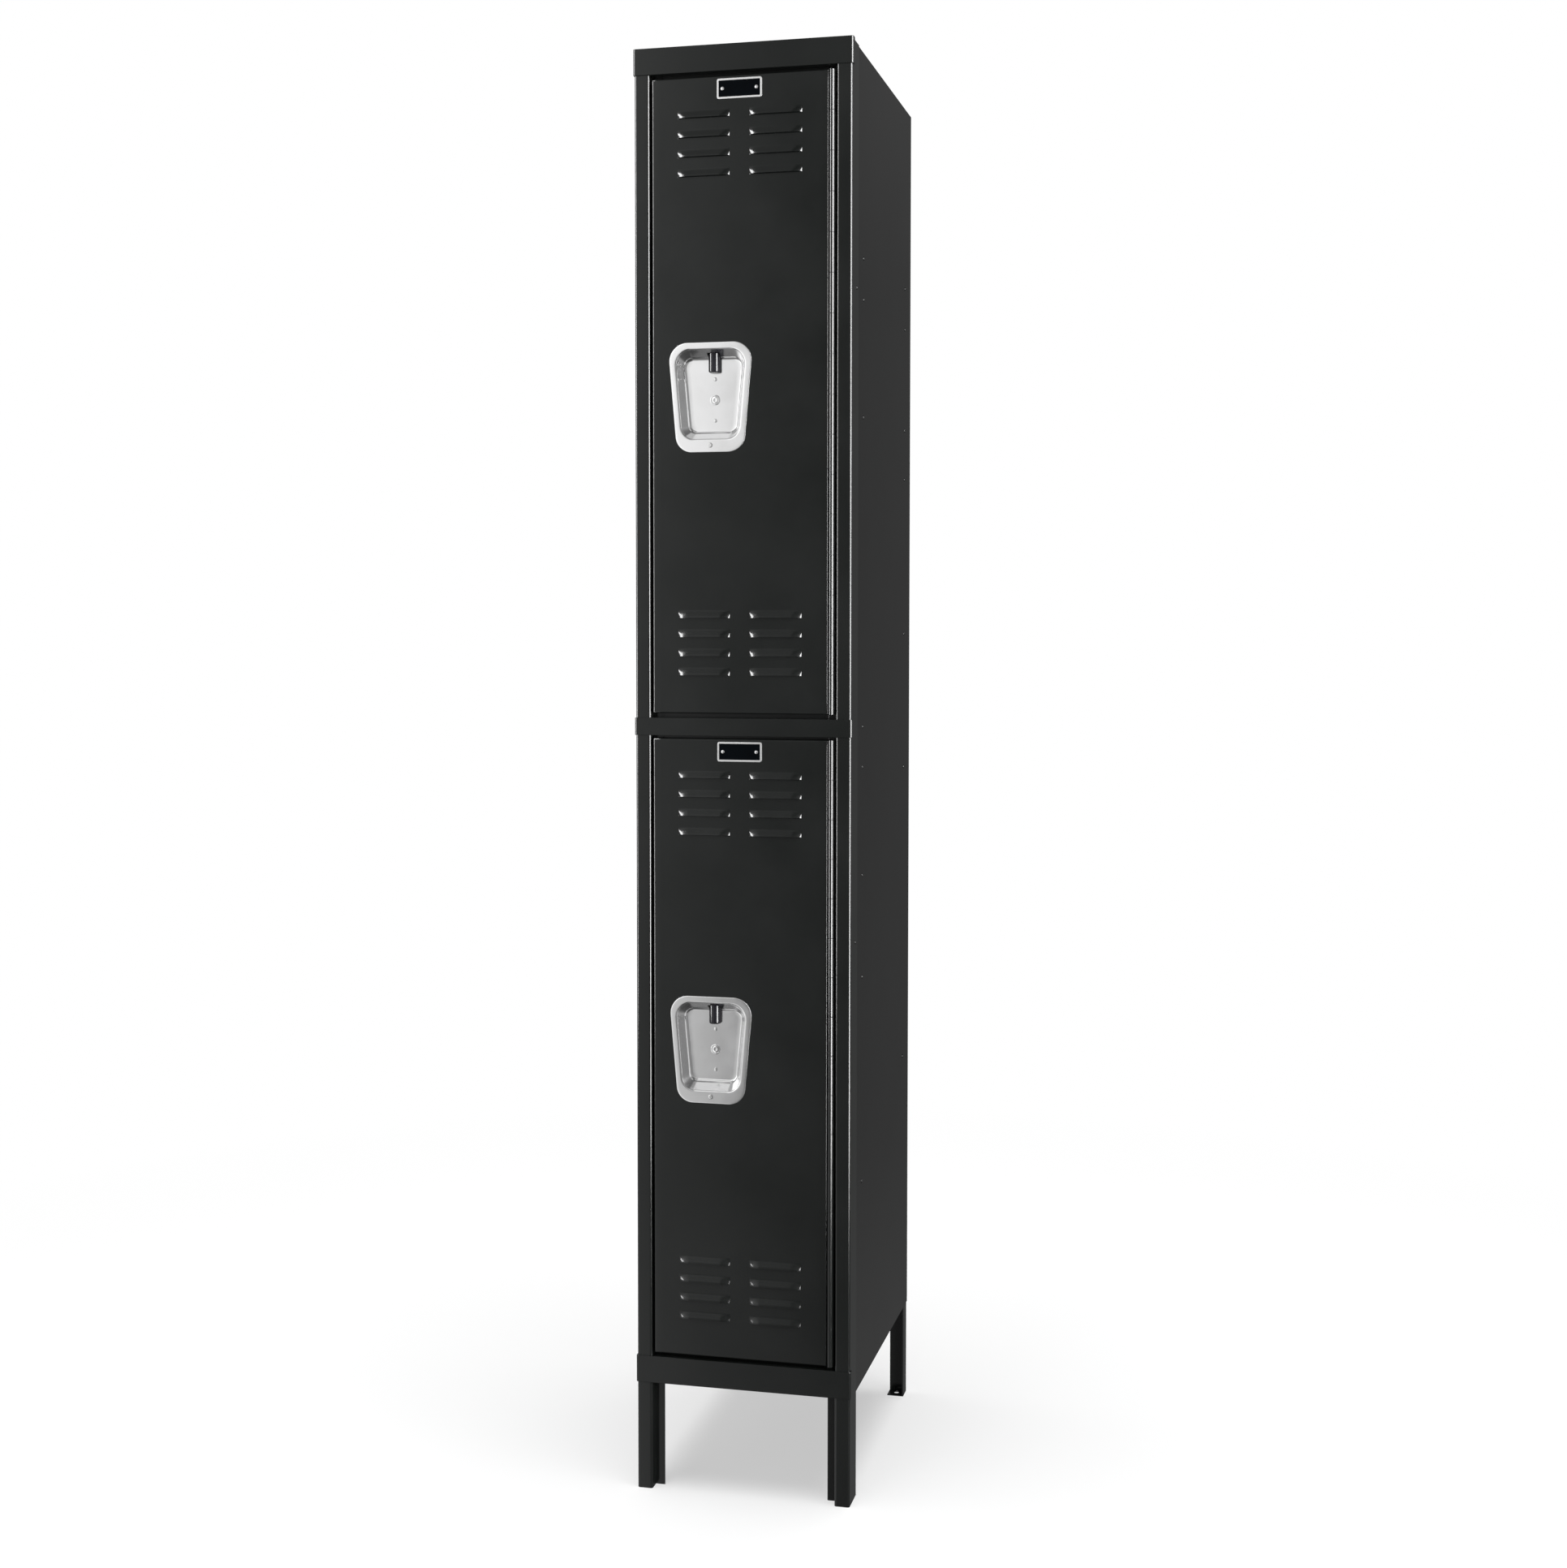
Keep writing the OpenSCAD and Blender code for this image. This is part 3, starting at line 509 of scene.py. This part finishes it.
def door(level):
    name = "door_panel_" + level
    (x0, x1), (_, back), (z0, z1) = span(name)
    h = z1 - z0
    mid_x, mid_z = (x0 + x1) / 2, h / 2
    cols = [mid_x - LOUVER["col"], mid_x + LOUVER["col"]]
    lips = [h - LOUVER["first"] - i * LOUVER["pitch"] for i in range(LOUVER["rows"])]
    lips += [LOUVER["last"] + i * LOUVER["pitch"] for i in range(LOUVER["rows"])]

    x_marks, z_marks = [], []
    for c in cols:
        for s in (-1, 1):
            x_marks += [c + s * (LOUVER["half"] - LOUVER["end"] * (1 - math.cos(math.pi / 2 * k / 12)))
                        for k in range(13)]
            x_marks += [c + s * (LOUVER["half"] + 0.6), c + s * (LOUVER["half"] + 2.0)]
    for lip in lips:
        z_marks += [lip + LOUVER["height"] * k / 12 for k in range(13)]
        z_marks += [lip - 0.5, lip - 2.0, lip + LOUVER["height"] + 0.6, lip + LOUVER["height"] + 2.0]
    x_marks += [CUP_X + 3.5 * k for k in range(-17, 18)]
    z_marks += [mid_z + 3.5 * k for k in range(-21, 22)]
    xs = lines(x0 + BEND_OUT, x1 - BEND_OUT, x_marks, 14)
    zs = lines(BEND_OUT, h - BEND_OUT, z_marks, 20)

    def swell(x, z, above):
        """How far the sheet stands out at x, z. A lip line counts as hood when above is set."""
        for lip in lips:
            v = (z - lip) / LOUVER["height"]
            if v < -1e-6 or v > 1 + 1e-6 or (abs(v) <= 1e-6 and not above):
                continue
            for c in cols:
                u = abs(x - c)
                if u < LOUVER["half"]:
                    e = max(0.0, (u - (LOUVER["half"] - LOUVER["end"])) / LOUVER["end"])
                    return LOUVER["out"] * (1 - e * e) ** 0.8 * math.cos(math.pi / 2 * min(v, 1.0)) ** 1.6
        return 0.0

    index, verts = {}, []

    def vert(i, j, above):
        out = swell(xs[i], zs[j], above)
        key = (i, j, above and out > 1e-6 and any(abs(zs[j] - lip) < 1e-4 for lip in lips))
        if key not in index:
            index[key] = len(verts)
            verts.append([xs[i], FACE - out, z0 + zs[j]])
        return index[key]

    outline = np.array(cup_outline(CUP_MOUTH, 1.6, 24, 40))
    outline[:, 0] += CUP_X
    outline[:, 1] += mid_z

    def in_cup(x, z):
        inside = False
        for (ax, az), (bx, bz) in zip(outline, np.roll(outline, -1, axis=0)):
            if (az > z) != (bz > z) and x < (bx - ax) * (z - az) / (bz - az) + ax:
                inside = not inside
        return inside

    hole = {(i, j): in_cup(xs[i], zs[j]) for i in range(len(xs)) for j in range(len(zs))
            if abs(xs[i] - CUP_X) < 60 and abs(zs[j] - mid_z) < 80}
    faces, rim = [], set()
    for i in range(len(xs) - 1):
        for j in range(len(zs) - 1):
            corners = [(i, j), (i + 1, j), (i + 1, j + 1), (i, j + 1)]
            cut = [hole.get(c, False) for c in corners]
            if all(cut):
                continue
            if any(cut):
                rim |= {c for c, inside in zip(corners, cut) if inside}
            faces.append((vert(i, j, True), vert(i + 1, j, True), vert(i + 1, j + 1, False),
                          vert(i, j + 1, False)))
    for i, j in rim:
        # the cut edge of the sheet follows the cup's outline
        k = index[(i, j, False)]
        near = outline[np.argmin(((outline - (xs[i], zs[j])) ** 2).sum(1))]
        verts[k][0], verts[k][2] = near[0], z0 + near[1]

    # flanges: each step is how far in from the door's edge, how far back, and whether it is the lip
    border = [(i, 0) for i in range(len(xs))] + [(len(xs) - 1, j) for j in range(1, len(zs))]
    border += [(i, len(zs) - 1) for i in range(len(xs) - 2, -1, -1)]
    border += [(0, j) for j in range(len(zs) - 2, 0, -1)]
    depth = back - FACE
    arc = [math.pi / 2 * k / 6 for k in range(1, 7)]
    steps = [((BEND_OUT * (1 - math.sin(a)),) * 4, BEND_OUT * (1 - math.cos(a))) for a in arc]
    steps += [((BEND_OUT * (1 - math.cos(a)),) * 4, depth - BEND_OUT * (1 - math.sin(a)))
              for a in [0.0] + arc]
    steps.append(((LIPS["latch"], LIPS["hinge"], LIPS["end"], LIPS["end"]), depth))
    last = [index[(i, j, False)] for i, j in border]
    for (left, right, low, high), y in steps:
        ring = []
        for i, j in border:
            x = x0 + left if i == 0 else x1 - right if i == len(xs) - 1 else xs[i]
            z = low if j == 0 else h - high if j == len(zs) - 1 else zs[j]
            x = min(max(x, x0 + left), x1 - right)
            z = min(max(z, low), h - high)
            ring.append(len(verts))
            verts.append([x, FACE + y, z0 + z])
        n = len(ring)
        faces += [(last[(k + 1) % n], last[k], ring[k], ring[(k + 1) % n]) for k in range(n)]
        last = ring

    obj = make(name + "_pressed", verts, faces, POWDER, level + "_door", [name])
    orient_front(obj)
    mod = obj.modifiers.new("sheet", "SOLIDIFY")
    mod.thickness = 1.2 * MM
    mod.offset = -1
    mod.use_even_offset = False
    apply_modifiers(obj)
    # slots in the latch-side lip that the frame hooks pass through
    hooks = span("frame_hooks")
    plate = (hooks[0][1] - 2.2, hooks[0][1])
    cutter = Build()
    for s in (-1, 1):
        z = z0 + mid_z + s * 322
        cutter.box((plate[0] - 2, plate[1] + 2), (back - 4, back + 2), (z - 15, z + 15))
    subtract(obj, cutter)


def orient_front(obj):
    """Turns all faces so that the door's front looks towards -Y."""
    me = obj.data
    front = sum(p.normal.y * p.area for p in me.polygons
                if abs(p.normal.y) > 0.9 and p.center.y < (FACE + 2) * MM)
    if front > 0:
        me.flip_normals()


def face_outwards(me):
    bm = bmesh.new()
    bm.from_mesh(me)
    bmesh.ops.recalc_face_normals(bm, faces=bm.faces)
    bm.to_mesh(me)
    bm.free()


def subtract(obj, build, overlapping=False):
    """Cuts the build's solid out of obj for good. overlapping allows for a mesh that meets itself."""
    face_outwards(obj.data)
    me = bpy.data.meshes.new("cutter")
    me.from_pydata([tuple(c * MM for c in v) for v in build.v], [], build.f)
    face_outwards(me)
    tool = bpy.data.objects.new("cutter", me)
    bpy.context.scene.collection.objects.link(tool)
    mod = obj.modifiers.new("cut", "BOOLEAN")
    mod.operation, mod.solver, mod.object = "DIFFERENCE", "EXACT", tool
    mod.use_self = overlapping
    apply_modifiers(obj)
    bpy.data.objects.remove(tool)
    bpy.data.meshes.remove(me)


for level in LEVELS:
    door(level)


# ---------------------------------------------------------------- handle cups

def blend_shape(a, b, s):
    return tuple(tuple(p + (q - p) * s for p, q in zip(u, w)) for u, w in zip(a, b))


def cup(level):
    name = "handle_cup_" + level
    (_, _), (y0, y_back), (zl, zh) = span(name)
    mid = (zl + zh) / 2
    floor_y = y_back - 1.0
    rows = [(CUP_RIM, 0.0, FACE - 0.02), (CUP_RIM, 0.0, FACE - 0.35), (CUP_RIM, -0.12, FACE - 0.62),
            (CUP_RIM, -0.4, FACE - 0.85), (CUP_RIM, -0.85, FACE - 0.97), (CUP_RIM, -1.6, y0),
            (CUP_RIM, -4.5, y0)]
    nose = 2.6
    rows.append((CUP_MOUTH, nose + 1.5, y0))
    for k in range(9):
        a = math.pi / 2 * k / 8 * 0.86
        rows.append((CUP_MOUTH, nose * (1 - math.sin(a)), y0 + nose * (1 - math.cos(a))))
    start_y = rows[-1][2]
    start_grow = rows[-1][1]
    fillet = 5.0
    for k in range(1, 7):
        s = k / 6 * 0.74
        rows.append((blend_shape(CUP_MOUTH, CUP_FLOOR, s), start_grow * (1 - s),
                     start_y + (floor_y - start_y) * s))
    # the wall turns into the floor through a fillet
    (w_shape, w_grow, w_y) = rows[-1]
    for k in range(1, 9):
        a = math.pi / 2 * k / 8
        y = w_y + (floor_y - w_y) * math.sin(a)
        inward = fillet * (1 - math.cos(a))
        lean = blend_shape(w_shape, CUP_FLOOR, 0.9 * math.sin(a))
        rows.append((lean, w_grow - inward * 0.62, y))
    rows.append((CUP_FLOOR, -8.0, floor_y))
    b = Build()
    loops = [[(CUP_X + x, y, mid + z) for x, z in cup_outline(shape, grow)] for shape, grow, y in rows]
    n = len(loops[0])
    verts = [p for loop in loops for p in loop]
    faces = []
    for r in range(len(loops) - 1):
        faces += [(r * n + k, r * n + (k + 1) % n, (r + 1) * n + (k + 1) % n, (r + 1) * n + k)
                  for k in range(n)]
    faces.append(tuple((len(loops) - 1) * n + k for k in range(n)))
    b.add(verts, faces)
    obj = make(name + "_drawn", b.v, b.f, STEEL, level + "_door", [name], 40)
    orient_front(obj)
    mod = obj.modifiers.new("sheet", "SOLIDIFY")
    mod.thickness, mod.offset = 0.85 * MM, -1
    apply_modifiers(obj, 40)
    (tx0, tx1), (ty0, _), (_, _) = span("lift_trigger_" + level)
    notch = Build()
    notch.box((tx0 - 0.5, tx1 + 0.5), (ty0 - 0.5, y_back + 2), (mid + 50, mid + 74))
    notch.box(((tx0 + tx1) / 2 - 4.5, (tx0 + tx1) / 2 + 4.5), (floor_y - 2, y_back + 2),
              (mid + 41.5, mid + 51))
    subtract(obj, notch, overlapping=True)


def stud(b, centre, r, height, dimple=0.0, axis=(0, -1, 0), shank=0.6):
    """A domed rivet head on a surface, with a sunk centre when dimple is its radius."""
    prof = [(r * 0.6, -shank), (r * 0.6, 0), (r, 0), (r, height * 0.25)]
    inner = dimple if dimple else 0.0
    for k in range(1, 7):
        a = math.pi / 2 * k / 6
        rr = inner + (r - inner) * math.cos(a) ** 0.55
        prof.append((max(rr, 1e-7 if not inner else inner), height * (0.25 + 0.75 * math.sin(a))))
    if dimple:
        prof += [(dimple * 0.92, height * 0.7), (dimple * 0.85, -0.5), (1e-7, -0.55)]
    b.revolve(prof, centre, axis, 28)


def trigger(level):
    """The black lift: a full-width half-round grip, with a softened lower end."""
    name = "lift_trigger_" + level
    (x0, x1), (y0, y1), (z0, z1) = span(name)
    grip_back = span("handle_cup_" + level)[1][1] - 2.2
    cx, half, depth = (x0 + x1) / 2, (x1 - x0) / 2, grip_back - y0
    b = Build()
    n = 28
    levels = [(1.9, 0.0), (1.0, 0.3), (0.4, 0.9), (0.1, 1.6), (0.0, 2.6), (0.0, z1 - z0 - 1.0),
              (0.4, z1 - z0 - 0.3), (0.9, z1 - z0)]
    rows = []
    for shrink, dz in levels:
        row = []
        for k in range(n + 1):
            a = math.pi * k / n
            c, s = math.cos(a), math.sin(a)
            px = math.copysign(abs(c) ** 0.72, c) * (half - shrink)
            py = abs(s) ** 0.82 * (depth - shrink)
            row.append((cx + px, grip_back - py, z0 + dz))
        rows.append(row)
    m = n + 1
    verts = [p for row in rows for p in row]
    faces = []
    for r in range(len(rows) - 1):
        faces += [(r * m + k, r * m + (k + 1) % m, (r + 1) * m + (k + 1) % m, (r + 1) * m + k)
                  for k in range(m)]
    faces += [tuple(range(m)), tuple((len(rows) - 1) * m + k for k in range(m))]
    b.add(verts, faces)
    b.box((cx - 4, cx + 4), (grip_back - 0.5, y1), (z0 + 7.5, z0 + 19.5))
    obj = make(name + "_moulded", b.v, b.f, GLOSS, level + "_lock_bar", [name], 50)


for level in LEVELS:
    cup(level)
    trigger(level)
    body = level + "_door"
    (sx0, sx1), _, (sz0, sz1) = span("cup_screw_" + level)
    b = Build()
    stud(b, ((sx0 + sx1) / 2, FACE - 1.0, (sz0 + sz1) / 2), (sx1 - sx0) / 2, 0.85, 1.6, shank=6.4)
    make("cup_screw_" + level + "_head", b.v, b.f, BRIGHT, body, ["cup_screw_" + level])
    (px0, px1), (_, py1), (pz0, pz1) = span("lock_hole_plug_" + level)
    floor_y = py1 - 1.0
    b = Build()
    r = (px1 - px0) / 2
    b.revolve([(1e-7, -0.3), (1.2, -0.3), (1.35, 0.3), (2.0, 0.6), (3.6, 0.64), (4.5, 0.3), (5.2, 0.3),
               (5.8, 0.72), (6.4, 0.72), (6.9, 0.5), (r, 0.2), (r, 0.0), (6.0, 0.0), (6.0, -1.03)],
              ((px0 + px1) / 2, floor_y, (pz0 + pz1) / 2), (0, -1, 0), 40)
    make("lock_hole_plug_" + level + "_cap", b.v, b.f, STEEL, body, ["lock_hole_plug_" + level])
    (rx0, rx1), _, (rz0, rz1) = span("lock_hole_rivets_" + level)
    r = (rx1 - rx0) / 2
    b = Build()
    for z in (rz0 + r, rz1 - r):
        stud(b, ((rx0 + rx1) / 2, floor_y, z), r, 0.7, shank=1.03)
    make("lock_hole_rivets_" + level + "_heads", b.v, b.f, BRIGHT, body,
         ["lock_hole_rivets_" + level])


# ---------------------------------------------------------------- number plates

def rounded_rect(cx, cz, w, h, r, n=8):
    pts = []
    for sx, sz, a0 in ((1, 1, 0), (-1, 1, 90), (-1, -1, 180), (1, -1, 270)):
        for k in range(n + 1):
            a = math.radians(a0 + 90 * k / n)
            pts.append((cx + sx * (w / 2 - r) + r * math.cos(a), cz + sz * (h / 2 - r) + r * math.sin(a)))
    return pts


for level in LEVELS:
    name = "number_plate_" + level
    (x0, x1), (y0, y1), (z0, z1) = span(name)
    cx, cz, w, h = (x0 + x1) / 2, (z0 + z1) / 2, x1 - x0, z1 - z0
    rows = [(0.0, y1), (0.0, y0 + 0.3), (0.12, y0 + 0.08), (0.4, y0), (2.3, y0), (2.6, y0 + 0.1),
            (2.75, y0 + 0.4)]
    loops = [[(x, y, z) for x, z in rounded_rect(cx, cz, w - 2 * d, h - 2 * d, max(3.0 - d, 0.7))]
             for d, y in rows]
    n = len(loops[0])
    faces = []
    for r in range(len(loops) - 1):
        faces += [(r * n + k, r * n + (k + 1) % n, (r + 1) * n + (k + 1) % n, (r + 1) * n + k)
                  for k in range(n)]
    make(name + "_border", [p for loop in loops for p in loop], faces, BORDER, level + "_door",
         [name])
    b = Build()
    field = rounded_rect(cx, cz, w - 5.3, h - 5.3, 0.8)
    b.prism([(x, z) for x, z in field], y0 + 0.32, y1 - 0.02, axes="xzy")
    make(name + "_field", b.v, b.f, ENAMEL, level + "_door")
    (rx0, rx1), (ry0, ry1), (rz0, rz1) = span("plate_rivets_" + level)
    r = (rz1 - rz0) / 2
    b = Build()
    for x in (rx0 + r, rx1 - r):
        stud(b, (x, y0 + 0.05, (rz0 + rz1) / 2), r, y0 + 0.02 - ry0)
        stud(b, (x, ry1 - 0.8, (rz0 + rz1) / 2), r, 0.78, axis=(0, 1, 0))
    make("plate_rivets_" + level + "_heads", b.v, b.f, BRIGHT, level + "_door",
         ["plate_rivets_" + level])


# ---------------------------------------------------------------- body rivets

SIDE_RIVETS = [
    (89, 1704), (89, 1648), (89, 1488), (89, 1064), (89, 1008), (89, 858), (89, 716), (89, 429),
    (410, 1712), (410, 1651), (410, 1499), (410, 1425), (410, 1191), (410, 988), (410, 541)]
UPRIGHT_RIVETS = [(34, 1656), (34, 772)]
PANEL_X = span("side_panel_right")[0][1]
b = Build()
for s in (-1, 1):
    for x, places in ((PANEL_X, SIDE_RIVETS), (UP_X, UPRIGHT_RIVETS)):
        for y, z in places:
            stud(b, (s * x, RAIL_Y + y, z), 2.6, 0.88, axis=(s, 0, 0), shank=0.5)
make("side_rivets_heads", b.v, b.f, POWDER, "cabinet", ["side_rivets"])


# ---------------------------------------------------------------- carried-over CAD nodes

SLOT_OF = {s["node"]: s["material_slot"] for s in frame["record"]["subparts"]}
SOFT_EDGE = {"rear_leg_left": 0.4, "rear_leg_right": 0.4, "frame_hooks": 0.4, "silencers": 0.5,
             "bar_guides_upper": 0.6, "bar_guides_lower": 0.6, "tier_shelf": 0.3, "top_panel": 0.3,
             "bottom_shelf": 0.3, "lock_bar_upper": 0.3, "lock_bar_lower": 0.3}
for name, obj in frame["nodes"].items():
    if obj.hide_render:
        continue
    obj.data.materials.clear()
    obj.data.materials.append(SLOT_LOOKS[SLOT_OF[name]])
    if name in SOFT_EDGE:
        weld = obj.modifiers.new("weld", "WELD")
        weld.merge_threshold = 1e-6
        bevel(obj, SOFT_EDGE[name], 2, 50)


# ---------------------------------------------------------------- floor, backdrop and light

def stage_mesh(name, verts, faces, colour, emission=0.0, rough=0.9):
    me = bpy.data.meshes.new(name)
    me.from_pydata(verts, [], faces)
    obj = bpy.data.objects.new(name, me)
    bpy.context.scene.collection.objects.link(obj)
    m, nt, bsdf = new_material(name)
    bsdf.inputs["Base Color"].default_value = (*colour, 1)
    bsdf.inputs["Roughness"].default_value = rough
    bsdf.inputs["Specular IOR Level"].default_value = 0.0
    if emission:
        bsdf.inputs["Emission Color"].default_value = (*colour, 1)
        bsdf.inputs["Emission Strength"].default_value = emission
        bsdf.inputs["Base Color"].default_value = (0, 0, 0, 1)
    me.materials.append(m)
    obj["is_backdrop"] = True
    return obj


def fade_to_white(obj, near, far, lift):
    """Blends the floor's own shading into plain white, by lift up to near and fully from far on."""
    nt = obj.data.materials[0].node_tree
    place = nt.nodes.new("ShaderNodeTexCoord")
    length = node(nt, "ShaderNodeVectorMath", operation="LENGTH")
    nt.links.new(place.outputs["Object"], length.inputs[0])
    fade = nt.nodes.new("ShaderNodeMapRange")
    fade.inputs["From Min"].default_value = near
    fade.inputs["From Max"].default_value = far
    fade.inputs["To Min"].default_value = lift
    nt.links.new(length.outputs["Value"], fade.inputs["Value"])
    white = nt.nodes.new("ShaderNodeEmission")
    mix = nt.nodes.new("ShaderNodeMixShader")
    nt.links.new(fade.outputs["Result"], mix.inputs["Fac"])
    nt.links.new(nt.nodes["Principled BSDF"].outputs["BSDF"], mix.inputs[1])
    nt.links.new(white.outputs["Emission"], mix.inputs[2])
    nt.links.new(mix.outputs["Shader"], nt.nodes["Material Output"].inputs["Surface"])


RADIUS = 14.0
ring = [(RADIUS * math.cos(2 * math.pi * k / 96), RADIUS * math.sin(2 * math.pi * k / 96)) for k in range(96)]
floor = stage_mesh("floor", [(x, y, 0) for x, y in ring], [tuple(range(96))], (0.9, 0.9, 0.9))
floor.visible_glossy = False
fade_to_white(floor, near=0.9, far=2.2, lift=0.5)
rows = [(x * c, y * c, RADIUS * 1.2 * s - 0.02)
        for c, s in [(math.cos(a), math.sin(a)) for a in [math.pi / 2 * k / 12 * 0.98 for k in range(13)]]
        for x, y in ring]
faces = [(r * 96 + k, r * 96 + (k + 1) % 96, (r + 1) * 96 + (k + 1) % 96, (r + 1) * 96 + k)
         for r in range(12) for k in range(96)]
faces.append(tuple(12 * 96 + k for k in range(96)))
backdrop = stage_mesh("backdrop", rows, faces, (1.0, 1.0, 1.0), emission=1.0)
for flag in ("visible_glossy", "visible_diffuse", "visible_transmission", "visible_shadow"):
    setattr(backdrop, flag, False)


def receivers(name, materials, skip=()):
    """The pieces of some materials, as the only ones a light falls on, without names that start with skip."""
    group = bpy.data.collections.new(name)
    for obj in bpy.context.scene.objects:
        if obj.type != "MESH" or obj.hide_render or obj.name.startswith(skip):
            continue
        if obj.data.materials[0] in materials:
            group.objects.link(obj)
    return group


def softbox(name, place, target, size, radiance, group=None):
    """A rectangular light of the given radiance, facing target. It falls on everything, or on one group."""
    light = bpy.data.lights.new(name, "AREA")
    light.shape = "RECTANGLE"
    light.size, light.size_y = size
    light.energy = radiance * math.pi * size[0] * size[1]
    obj = bpy.data.objects.new(name, light)
    bpy.context.scene.collection.objects.link(obj)
    obj.location = place
    obj.rotation_euler = (Vector(target) - Vector(place)).to_track_quat("-Z", "Y").to_euler()
    obj.visible_camera = False
    if group:
        obj.light_linking.receiver_collection = group
    return obj


coated = receivers("coated", [POWDER, GLOSS, RUBBER])
edged = receivers("edged", [POWDER, GLOSS, RUBBER], ("side_panel",))
shiny = receivers("shiny", [STEEL, BRIGHT, BORDER, NATURAL, ZINC])
below = receivers("below", floor.data.materials[:])
softbox("strip_left", (-1.8, -1.64, 1.9), (0, -0.2, 1.6), (0.6, 3.4), 30, edged)
softbox("strip_right", (1.8, -1.75, 1.7), (0, -0.2, 1.5), (1.0, 3.8), 38, edged)
softbox("edge_strip", (2.6, -0.75, 1.6), (0.15, -0.2, 1.4), (0.45, 3.6), 34, edged)
softbox("right_card", (3.0, 0.3, 1.8), (0.15, 0, 1.0), (2.4, 2.8), 1.8, coated)
softbox("front_card", (-0.55, -3.1, 1.85), (-0.05, -0.2, 1.5), (1.9, 1.9), 0.36, shiny)
softbox("high_card", (-0.2, -1.9, 4.0), (0, -0.2, 1.2), (2.4, 1.2), 0.45, shiny)
softbox("left_card", (-2.6, -1.7, 1.6), (0, -0.2, 1.2), (1.4, 2.6), 0.8, shiny)
softbox("back_card", (-1.7, 2.9, 2.0), (0, 0.2, 1.0), (1.6, 2.4), 3.0, coated)
softbox("back_shine", (-1.7, 2.9, 2.0), (0, 0.2, 1.0), (1.6, 2.4), 1.0, shiny)
softbox("ceiling", (0.2, -0.4, 5.0), (0, 0, 0), (3.5, 3.5), 8.5, below)


def set_stops(ramp_node, stops):
    elements = ramp_node.color_ramp.elements
    for pos, g in stops[1:-1]:
        elements.new(pos).color = (g, g, g, 1)
    for k in (0, -1):
        g = stops[k][1]
        elements[k].color = (g, g, g, 1)


def studio_world():
    """A world that is brighter to the front left and dim behind, above and to the right, as a studio is."""
    w = bpy.data.worlds.new("studio")
    w.use_nodes = True
    nt = w.node_tree
    bg = nt.nodes["Background"]
    tex = nt.nodes.new("ShaderNodeTexCoord")
    sep = nt.nodes.new("ShaderNodeSeparateXYZ")
    nt.links.new(tex.outputs["Generated"], sep.inputs["Vector"])
    turn = node(nt, "ShaderNodeMath", operation="ARCTAN2")
    nt.links.new(sep.outputs["X"], turn.inputs[0])
    nt.links.new(sep.outputs["Y"], turn.inputs[1])
    scale = node(nt, "ShaderNodeMath", operation="MULTIPLY_ADD")
    scale.inputs[1].default_value = 1 / (2 * math.pi)
    scale.inputs[2].default_value = 0.5
    nt.links.new(turn.outputs[0], scale.inputs[0])
    # 0 and 1 are straight in front of the doors, 0.25 is to the left, 0.5 behind, 0.75 to the right
    sky = nt.nodes.new("ShaderNodeValToRGB")
    stops = [(0.0, 0.20), (0.030, 0.15), (0.040, 0.14), (0.047, 0.80), (0.12, 0.82), (0.25, 0.55),
             (0.36, 0.3), (0.45, 0.15), (0.50, 0.098), (0.60, 0.108), (0.70, 0.18), (0.82, 0.25),
             (0.92, 0.25), (1.0, 0.20)]
    set_stops(sky, stops)
    nt.links.new(scale.outputs[0], sky.inputs["Fac"])
    rise = nt.nodes.new("ShaderNodeValToRGB")
    up = node(nt, "ShaderNodeMath", operation="MULTIPLY_ADD")
    up.inputs[1].default_value = 0.5
    up.inputs[2].default_value = 0.5
    nt.links.new(sep.outputs["Z"], up.inputs[0])
    nt.links.new(up.outputs[0], rise.inputs["Fac"])
    heights = [(0.0, 0.15), (0.18, 0.3), (0.27, 1.25), (0.33, 1.25), (0.38, 0.95), (0.52, 1.0), (0.58, 1.05),
               (0.64, 1.45), (0.72, 1.1), (0.82, 0.6), (1.0, 0.4)]
    set_stops(rise, heights)
    mix = node(nt, "ShaderNodeMix", data_type="RGBA", blend_type="MULTIPLY")
    mix.inputs[0].default_value = 1.0
    nt.links.new(sky.outputs["Color"], mix.inputs[6])
    nt.links.new(rise.outputs["Color"], mix.inputs[7])
    nt.links.new(mix.outputs[2], bg.inputs["Color"])
    bg.inputs["Strength"].default_value = 1.0
    bpy.context.scene.world = w


studio_world()

# ---------------------------------------------------------------- camera

camera = bpy.data.cameras.new("camera")
camera.sensor_width = 36.0
camera.lens = 48.48
camera.shift_y = -0.035
camera.clip_start, camera.clip_end = 0.05, 100
shot = bpy.data.objects.new("camera", camera)
bpy.context.scene.collection.objects.link(shot)
shot.location = (0.7165, -2.9992, 1.2015)
shot.rotation_euler = (math.radians(90 - 2.776), math.radians(-0.04), math.radians(13.372))
bpy.context.scene.camera = shot
bpy.context.scene.view_settings.view_transform = "Standard"

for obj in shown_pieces():
    flat = obj.modifiers.new("flat_faces", "WEIGHTED_NORMAL")
    flat.keep_sharp = True
